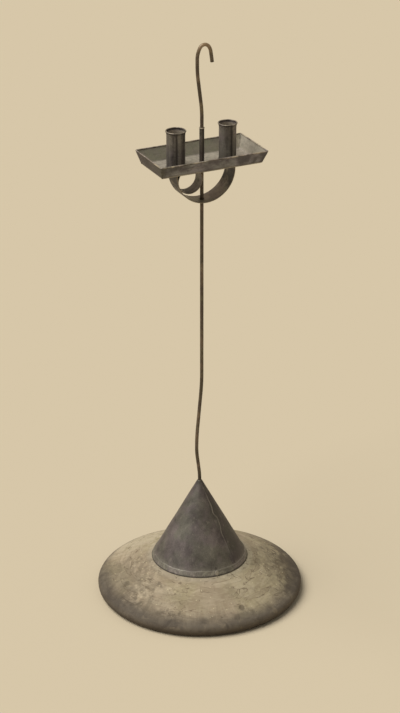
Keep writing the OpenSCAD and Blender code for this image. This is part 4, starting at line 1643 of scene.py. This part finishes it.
class CANDLE_OT_sockets(bpy.types.Operator):
    """Builds the two candle sockets, their lap seams and the solder at their feet"""

    bl_idname = "candle_stand.sockets"
    bl_label = "Candle Sockets"

    def execute(self, context):
        s = context.scene.candle_socket
        tin = socket_tin(s)
        solder = solder_metal(context.scene.candle_cone)
        for side, seam_at in (("left", math.radians(-107)), ("right", math.radians(-92))):
            low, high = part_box(side + "_socket")
            centre = (middle(side + "_socket").x, 0.0)
            outer = (high.x - low.x) / 2 - s.flare + s.wall / 2 - s.lip
            self.tube(s, side, tin, centre, outer, low.z, high.z)
            self.seam(s, side, tin, centre, outer, seam_at)
            foot_ring(
                "tube_solder_" + side, side + "_socket_solder", centre, outer + 0.02 * MM, solder
            )
        return {"FINISHED"}

    def tube(self, s, side, tin, centre, outer, low, high):
        lip_reach = outer + s.flare - s.wall / 2
        profile = tube_profile(
            outer, s.wall, low, high, s.lip, lip_reach, s.flare, s.flare_height, (-78, 230)
        )
        steps = 128
        rows = []
        for i in range(steps):
            angle = 2 * math.pi * i / steps
            row = []
            for r, z in profile:
                free = smooth(high - s.flare_height, high, z)
                dent = 0.12 * MM * free * ripple(on_circle(outer, angle, z, centre), 9 * MM, 2)
                row.append(on_circle(r + dent, angle, z, centre))
            rows.append(row)
        tube = piece("candle_tube_" + side, loft(rows, along=True), tin)
        crease_smooth(tube, math.radians(50))

        def turn(p):
            return math.atan2(p.y, p.x - centre[0])

        def inner_face(p):
            """1 on the tube's inner face, 0 on its outer one."""
            away = math.hypot(p.x - centre[0], p.y)
            return smooth(outer - 0.3 * s.wall, outer - 0.8 * s.wall, away)

        def wear_and_painted_light(p):
            uneven = 0.2 + 0.6 * smooth(-0.2, 0.3, ripple(p, 5 * MM, 3))
            lip = smooth(high - 0.6 * MM, high - 0.15 * MM, p.z) * uneven
            inner = inner_face(p) * smooth(high - 34 * MM, high - 18 * MM, p.z)
            # painted glint low on the front; the inner face near the mouth is painted lighter
            glint = bell(math.degrees(turn(p)) + 85, 4) * bell(p.z - low - 8 * MM, 5 * MM)
            return max(lip, inner, 0.8 * glint)

        # painted bands outside, painted light on the inner face, darker just below the rolled lip
        def tone(p):
            inner = inner_face(p)
            lip = smooth(high - 3.2 * MM, high - 1.6 * MM, p.z)
            lighter = 0.22 if side == "right" else 0.0
            return (tube_painted_light(side, turn(p)) + lighter) * (1 - inner) + 0.9 * inner - 0.35 * lip

        mark(tube, "tone", tone)
        mark(tube, "cool", lambda p: 0.6)
        mark(tube, "wear_and_painted_light", wear_and_painted_light)
        # darker towards the tube's foot, and painted shadow in a line under the lip
        mark(tube, "grime_and_painted_shade", lambda p: 0.5 * smooth(low + 5 * MM, low, p.z)
             + 0.5 * bell(p.z - high + 1.7 * MM, 0.7 * MM))
        dress(tube, side + "_socket")

    def seam(self, s, side, tin, centre, outer, start):
        """The lap seam: a strip with a bright, rubbed edge on its right."""
        low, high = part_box(side + "_socket_seam")
        width = math.radians(24)
        gap, thick = 0.02 * MM, 0.5 * MM
        shares = (0.55, 0.85, 0.95, 1, 1, 1, 0.98, 0.9, 0.6)
        levels = 40
        rows = []
        for i in range(levels + 1):
            z = low.z + (high.z - low.z) * i / levels
            waver = math.radians(0.7) * ripple(Vector((0, start, z * 60)), 1.0, 2)
            angles = [start + width * k / 8 + (waver if 0 < k < 8 else 0) for k in range(9)]
            face = [
                on_circle(outer + gap + thick * share, a, z, centre)
                for a, share in zip(angles, shares)
            ]
            rows.append(face + [on_circle(outer + gap, a, z, centre) for a in reversed(angles)])
        seam = piece("tube_lap_" + side, loft(rows), tin)
        crease_smooth(seam)

        def turn(p):
            return math.atan2(p.y, p.x - centre[0])

        mark(seam, "cool", lambda p: 0.6)
        mark(seam, "tone", lambda p: tube_painted_light(side, turn(p)))
        # painted shadow along the lap's left edge
        mark(seam, "grime_and_painted_shade", lambda p: 0.6 * smooth(start + 0.12 * width, start, turn(p)))
        dress(seam, side + "_socket_seam")


SOLDER_FILLET = (  # across and up, as shares of the bead's size
    (0, 0), (1, 0), (0.99, 0.1), (0.68, 0.2), (0.4, 0.38), (0.2, 0.65), (0.09, 0.98), (0, 1),
)


def foot_ring(name, node, centre, inner, solder):
    """A hollow-faced, lumpy ring of solder round the foot of a tube."""
    low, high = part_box(node)
    reach = (high.x - low.x) / 2 - inner
    tall = high.z - low.z
    steps = 120
    rows = []
    for i in range(steps):
        angle = 2 * math.pi * i / steps
        seat = on_circle(inner, angle, 0, centre)
        wide = reach * (0.8 + 0.2 * ripple(seat, 4 * MM, 2))
        up = tall * (0.78 + 0.22 * ripple(seat + Vector((0, 0, 1)), 3 * MM, 2))
        wide, up = min(wide, reach), min(up, tall)
        rows.append([
            on_circle(inner + wide * w, angle, low.z + up * h, centre) for w, h in SOLDER_FILLET
        ])
    ring = piece(name, loft(rows, along=True), solder)
    crease_smooth(ring, math.radians(60))
    mark(ring, "grime_and_painted_shade", lambda p: 0.6 * smooth(0.0, 0.5, ripple(p, 5 * MM, 2)))
    dress(ring, node)


class CANDLE_OT_sleeve(bpy.types.Operator):
    """Builds the thin sleeve round the rod and the solder at its foot"""

    bl_idname = "candle_stand.sleeve"
    bl_label = "Sleeve"

    def execute(self, context):
        s = context.scene.candle_socket
        low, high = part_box("sleeve")
        centre = (middle("sleeve").x, 0.0)
        outer, inner, lip = 2.88 * MM, RUNNING_BORE, 0.5 * MM
        flare, flare_height = 0.14 * MM, 5 * MM
        profile = tube_profile(
            outer, outer - inner, low.z, high.z, lip, (high.x - low.x) / 2 - lip, flare,
            flare_height, (-60, 180),
        )
        profile = [(max(r, inner), z) for r, z in profile]
        tube = piece("guide_sleeve", turned(profile, 72, centre), socket_tin(s))
        crease_smooth(tube, math.radians(50))

        def turn(p):
            return math.degrees(math.atan2(p.y, p.x - centre[0]))

        mark(tube, "wear_and_painted_light", lambda p: smooth(high.z - 1.6 * MM, high.z - 0.7 * MM, p.z))
        mark(tube, "cool", lambda p: 0.2)
        # painted light on the sleeve's left and painted shade on its right
        mark(tube, "tone", lambda p: -0.4 + 0.45 * bell(turn(p) + 140, 25)
             - 0.5 * bell(turn(p) + 70, 30))
        mark(tube, "grime_and_painted_shade", lambda p: 0.5 * bell(turn(p) + 62, 12))
        dress(tube, "sleeve")
        foot_ring("sleeve_foot_solder", "sleeve_solder", centre, outer + 0.08 * MM,
                  solder_metal(context.scene.candle_cone))
        return {"FINISHED"}


# The spring bow and the finger ring


def strap(name, path, width, thickness, material, closed=False, waver=0.12 * MM):
    """A flat strap with rounded edges along a path of (x, z) points, centred on y = 0."""
    count = len(path)
    half, soft = width / 2, thickness / 2 * 0.8
    section = []
    for side in (1, -1):
        for k in range(5):
            a = math.radians(90 * side - 45 * k)
            t = thickness / 2 * math.sin(a) if k in (0, 4) else soft * math.sin(a)
            section.append((side * (half - soft) + soft * math.cos(a), t))
        for k in range(1, 20):
            section.append((side * (half - soft) * (1 - k / 10), -side * thickness / 2))
    rows = []
    for i, p in enumerate(path):
        before = path[(i - 1) % count] if closed or i else p
        after = path[(i + 1) % count] if closed or i < count - 1 else p
        along = Vector((after[0] - before[0], after[1] - before[1])).normalized()
        out = Vector((along.y, -along.x))
        row = []
        for y, t in section:
            place = Vector((p[0] + out.x * t, y, p[1] + out.y * t))
            wave = waver * ripple(Vector((p[0], y, p[1])), 14 * MM, 2) * smooth(0, 5 * MM, abs(y))
            place.y += 0.6 * wave - 0.4 * math.copysign(waver, y)
            row.append(place)
        rows.append(row)
    return piece(name, loft(rows, along=closed), material)


class CANDLE_OT_bow(bpy.types.Operator):
    """Builds the wide spring bow under the tray, its bead and the solder at its feet"""

    bl_idname = "candle_stand.bow"
    bl_label = "Spring Bow"

    def execute(self, context):
        s = context.scene.candle_strap
        iron = strap_iron(s)
        solder = solder_metal(context.scene.candle_cone)
        low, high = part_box("bow_spring")
        centre_x = (low.x + high.x) / 2
        reach = (high.x - low.x) / 2 - s.thickness / 2
        arc_z = low.z + (high.x - low.x) / 2
        top = high.z - s.thickness / 2
        bend = 1.3 * MM
        inner_end = reach - s.foot
        path = [(-inner_end, top)]
        path += [(-inner_end - (reach - bend - inner_end) * k / 6, top) for k in range(1, 7)]
        path += [(-reach + bend + bend * math.cos(a), top - bend + bend * math.sin(a))
                 for a in (math.radians(90 + 90 * k / 6) for k in range(1, 7))]
        path += [(-reach, top - bend + (arc_z - top + bend) * k / 6) for k in range(1, 6)]
        path += [(reach * math.cos(a), arc_z + reach * math.sin(a))
                 for a in (math.radians(180 + 180 * k / 96) for k in range(97))]
        path += [(-x, z) for x, z in reversed(path[:18])]
        path = [(centre_x + x, z) for x, z in path]
        bow = strap("spring_strap", path, high.y - low.y, s.thickness, iron)
        cut_hole(bow, s.hole, centre_x, low.z - 4 * MM, low.z + 8 * MM)
        crease_smooth(bow, math.radians(50))
        half = (high.y - low.y) / 2

        def inside(p):
            """1 on the bow's inner face, 0 on its outer one."""
            away = math.hypot(p.x - centre_x, min(p.z - arc_z, 0.0))
            return smooth(reach + 0.2 * MM, reach - 0.2 * MM, away)

        def painted_light_inside(p):
            """1 on the low part of the inner face, which is painted lighter where the light reaches
            it.
            """
            return inside(p) * smooth(arc_z - 12 * MM, low.z + 4 * MM, p.z)

        def wear_and_painted_light(p):
            edge = 0.7 * smooth(half - 0.7 * MM, half - 0.2 * MM, abs(p.y))
            rubbed = 0.35 * smooth(0.1, 0.6, ripple(p, 10 * MM, 3))
            # painted glint beside the rod's hole
            glint = bell(math.hypot(p.x - centre_x - 3.6 * MM, p.y + 2.2 * MM), 1.3 * MM)
            return max(edge, rubbed, glint * inside(p))

        # outer faces painted dark and the low inner face painted light, as painted shade and light
        mark(bow, "tone", lambda p: -0.75 + 1.7 * painted_light_inside(p))
        mark(bow, "cool", lambda p: 0.9 - 0.7 * painted_light_inside(p))
        mark(bow, "wear_and_painted_light", wear_and_painted_light)
        # darker near the top under the tray and round the rod's hole
        mark(bow, "grime_and_painted_shade", lambda p: 0.5 * smooth(high.z - 8 * MM, high.z, p.z)
             + 0.5 * smooth(4.4 * MM, 3 * MM, math.hypot(p.x - centre_x, p.y)))
        dress(bow, "bow_spring")
        self.bead(solder, centre_x)
        self.feet(solder, centre_x)
        return {"FINISHED"}

    def bead(self, solder, centre_x):
        """The lump of solder round the rod's hole."""
        low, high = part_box("bow_bead")
        reach, tall = (high.x - low.x) / 2 - RUNNING_BORE, high.z - low.z
        shape = ((0, 1), (1, 1), (0.98, 0.75), (0.85, 0.4), (0.6, 0.12), (0.3, 0), (0, 0.05))
        steps = 72
        rows = []
        for i in range(steps):
            angle = 2 * math.pi * i / steps
            wide = reach * (0.86 + 0.14 * ripple(on_circle(3 * MM, angle), 2.4 * MM, 2))
            rows.append([
                on_circle(RUNNING_BORE + wide * w, angle, low.z + tall * h, (centre_x, 0))
                for w, h in shape
            ])
        bead = piece("strap_bead", loft(rows, along=True), solder)
        crease_smooth(bead, math.radians(60))
        mark(bead, "grime_and_painted_shade", lambda p: 0.4)
        dress(bead, "bow_bead")

    def feet(self, solder, centre_x):
        """Solder along the outer side of both feet."""
        low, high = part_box("bow_solder")
        half = (high.y - low.y) / 2
        size = high.z - low.z
        inner = (high.x - low.x) / 2 - size
        steps = 60
        beads = []
        for side in (-1, 1):
            rows = []
            for i in range(steps + 1):
                y = -half + 2 * half * i / steps
                lump = 0.8 + 0.2 * ripple(Vector((side, y, 0.2)), 4 * MM, 2)
                edge = 0.5 + 0.5 * smooth(0, 2 * MM, half - abs(y))
                across = size * min(lump, 1) * edge
                rows.append([
                    Vector((centre_x + side * (inner + across * w), y, high.z - across * h))
                    for w, h in SOLDER_FILLET
                ])
            beads.append(piece("strap_foot_solder", loft(rows), solder))
        both = join("strap_foot_solder", beads)
        mark(both, "grime_and_painted_shade", lambda p: 0.5)
        dress(both, "bow_solder")


class CANDLE_OT_ring(bpy.types.Operator):
    """Builds the finger ring inside the bow and the solder that holds it"""

    bl_idname = "candle_stand.ring"
    bl_label = "Finger Ring"

    def execute(self, context):
        s = context.scene.candle_strap
        low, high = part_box("finger_ring")
        centre = middle("finger_ring")
        radius = (high.x - low.x) / 2 - s.thickness / 2
        steps = 128
        turns = [2 * math.pi * k / steps for k in range(steps)]
        path = [
            (centre.x + radius * math.cos(a), centre.z + radius * math.sin(a)) for a in turns
        ]
        ring = strap("ring_strap", path, high.y - low.y, s.thickness, strap_iron(s), closed=True)
        crease_smooth(ring, math.radians(50))
        half = (high.y - low.y) / 2
        inside = radius - s.thickness / 4
        # inner faces painted lighter, as painted light
        mark(ring, "tone", lambda p: 0.45 * smooth(
            inside + 0.1 * MM, inside - 0.1 * MM, math.hypot(p.x - centre.x, p.z - centre.z)))
        mark(ring, "cool", lambda p: 0.8)
        mark(ring, "wear_and_painted_light", lambda p: 0.7 * smooth(half - 0.7 * MM, half - 0.2 * MM, abs(p.y)))
        mark(ring, "grime_and_painted_shade", lambda p: 0.4 * smooth(0.0, 0.5, ripple(p, 8 * MM, 3)))
        dress(ring, "finger_ring")
        self.weld(context, centre, (high.x - low.x) / 2)
        return {"FINISHED"}

    def weld(self, context, centre, outer):
        """Beads of solder where the ring touches the tray and the bow."""
        solder = solder_metal(context.scene.candle_cone)
        low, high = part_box("ring_solder")
        bow_low, bow_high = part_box("bow_spring")
        bow = Vector(((bow_low.x + bow_high.x) / 2, bow_low.z + (bow_high.x - bow_low.x) / 2))
        half = (high.y - low.y) / 2 - 0.4 * MM
        lean = Vector((centre.x, centre.z)) - bow
        touch = Vector((centre.x, centre.z)) + lean.normalized() * (outer - 0.1 * MM)
        across = Vector((-lean.y, lean.x)).normalized()
        inward = lean.normalized() * 0.35 * MM
        under_tray, beside_tray, beside_bow = high.z - 0.45 * MM, 3.4 * MM, 4.3 * MM
        spots = [
            (centre.x - beside_tray, under_tray), (centre.x + beside_tray, under_tray),
            tuple(touch + across * beside_bow - inward),
            tuple(touch - across * beside_bow - inward),
        ]
        steps = 20
        beads = []
        for k, (x, z) in enumerate(spots):
            path = [Vector((x, -half + 2 * half * i / steps, z)) for i in range(steps + 1)]
            beads.append(sweep(
                "ring_weld", path, solder, 0.42 * MM, sides=12, step=0.6 * MM, dent=0.12 * MM,
                dent_size=1.8 * MM, seed=11.0 + k,
            ))
        whole = join("ring_weld", beads)
        mark(whole, "grime_and_painted_shade", lambda p: 0.5)
        dress(whole, "ring_solder")


# Stage


CAMERA_PLACE = (-1.0881, -2.2456, 1.4664)
CAMERA_TILT, CAMERA_TURN = 65.339, -25.864  # degrees
KEY_WAY = (0.52, -0.08, -0.85)
KEY_SOFTNESS = 50  # degrees


class CANDLE_OT_stage(bpy.types.Operator):
    """Sets the pale floor, the soft light and the camera"""

    bl_idname = "candle_stand.stage"
    bl_label = "Stage"

    def execute(self, context):
        s = context.scene.candle_stage
        half, level = s.size / 2, -0.5 * MM
        floor_mesh = bmesh.new()
        corners = ((-half, -half), (half, -half), (half, half), (-half, half))
        floor_mesh.faces.new([floor_mesh.verts.new((x, y, level)) for x, y in corners])
        material, _, shader, _ = blank_material("paper_floor")
        shader.inputs["Base Color"].default_value = rgba(s.paper)
        shader.inputs["Roughness"].default_value = 1.0
        shader.inputs["Specular IOR Level"].default_value = 0.0
        floor = piece("floor", floor_mesh, material)
        self.light(s)
        self.world(s)
        lens = bpy.data.cameras.new("camera")
        lens.lens = s.lens
        lens.sensor_width = 36.0
        lens.clip_end = 60.0
        camera = bpy.data.objects.new("camera", lens)
        camera.location = CAMERA_PLACE
        camera.rotation_euler = (math.radians(CAMERA_TILT), 0.0, math.radians(CAMERA_TURN))
        context.scene.collection.objects.link(camera)
        context.scene.camera = camera
        context.scene.view_settings.view_transform = "Standard"
        return {"FINISHED"}

    def light(self, s):
        """A very broad key light from the upper left, a little behind the stand."""
        key = bpy.data.lights.new("key", "SUN")
        key.energy = s.key
        key.angle = math.radians(KEY_SOFTNESS)
        lamp = bpy.data.objects.new("key", key)
        lamp.rotation_euler = Vector(KEY_WAY).to_track_quat("-Z", "Y").to_euler()
        bpy.context.scene.collection.objects.link(lamp)

    def world(self, s):
        """Even fill light; the camera and reflections see the paper's colour instead."""
        world = bpy.data.worlds.new("studio")
        world.use_nodes = True
        world.node_tree.nodes.clear()
        wire = Wiring(world.node_tree)
        fill = wire.node("ShaderNodeBackground", {"Color": (1, 1, 1, 1), "Strength": s.fill})
        paper = wire.node("ShaderNodeBackground", {"Color": rgba(s.paper), "Strength": 1.0})
        ray = wire.node("ShaderNodeLightPath").outputs
        mirrored = wire.math("MAXIMUM", ray["Is Glossy Ray"], ray["Is Transmission Ray"])
        seen = wire.math("MAXIMUM", ray["Is Camera Ray"], mirrored)
        both = wire.node("ShaderNodeMixShader", {0: seen, 1: fill.outputs[0], 2: paper.outputs[0]})
        wire.node("ShaderNodeOutputWorld", {"Surface": both.outputs[0]})
        bpy.context.scene.world = world


class CANDLE_PT_panel(bpy.types.Panel):
    """Lists the pieces of the candle stand"""

    bl_label = "Candle Stand"
    bl_idname = "CANDLE_PT_panel"
    bl_space_type = "VIEW_3D"
    bl_region_type = "UI"
    bl_category = "Candle Stand"

    def draw(self, context):
        for step in STEPS:
            self.layout.operator(step.bl_idname)
        for name in SETTINGS:
            box = self.layout.box()
            group = getattr(context.scene, name)
            for key in group.bl_rna.properties.keys():
                if key not in ("rna_type", "name"):
                    box.prop(group, key)


STEPS = (
    CANDLE_OT_stage, CANDLE_OT_weight, CANDLE_OT_cone, CANDLE_OT_rod, CANDLE_OT_clamp,
    CANDLE_OT_tray, CANDLE_OT_sockets, CANDLE_OT_sleeve, CANDLE_OT_bow, CANDLE_OT_ring,
)
SETTINGS = {
    "candle_weight": WeightSettings,
    "candle_cone": ConeSettings,
    "candle_rod": RodSettings,
    "candle_tray": TraySettings,
    "candle_socket": SocketSettings,
    "candle_strap": StrapSettings,
    "candle_stage": StageSettings,
}
CLASSES = (*SETTINGS.values(), *STEPS, CANDLE_PT_panel)


def register():
    for cls in CLASSES:
        bpy.utils.register_class(cls)
    for name, cls in SETTINGS.items():
        setattr(bpy.types.Scene, name, PointerProperty(type=cls))


def unregister():
    for name in SETTINGS:
        delattr(bpy.types.Scene, name)
    for cls in reversed(CLASSES):
        bpy.utils.unregister_class(cls)


def main():
    register()
    build_groups()
    for step in STEPS:
        getattr(bpy.ops.candle_stand, step.bl_idname.split(".")[1])()
    bpy.context.view_layer.update()


if __name__ == "__main__":
    main()
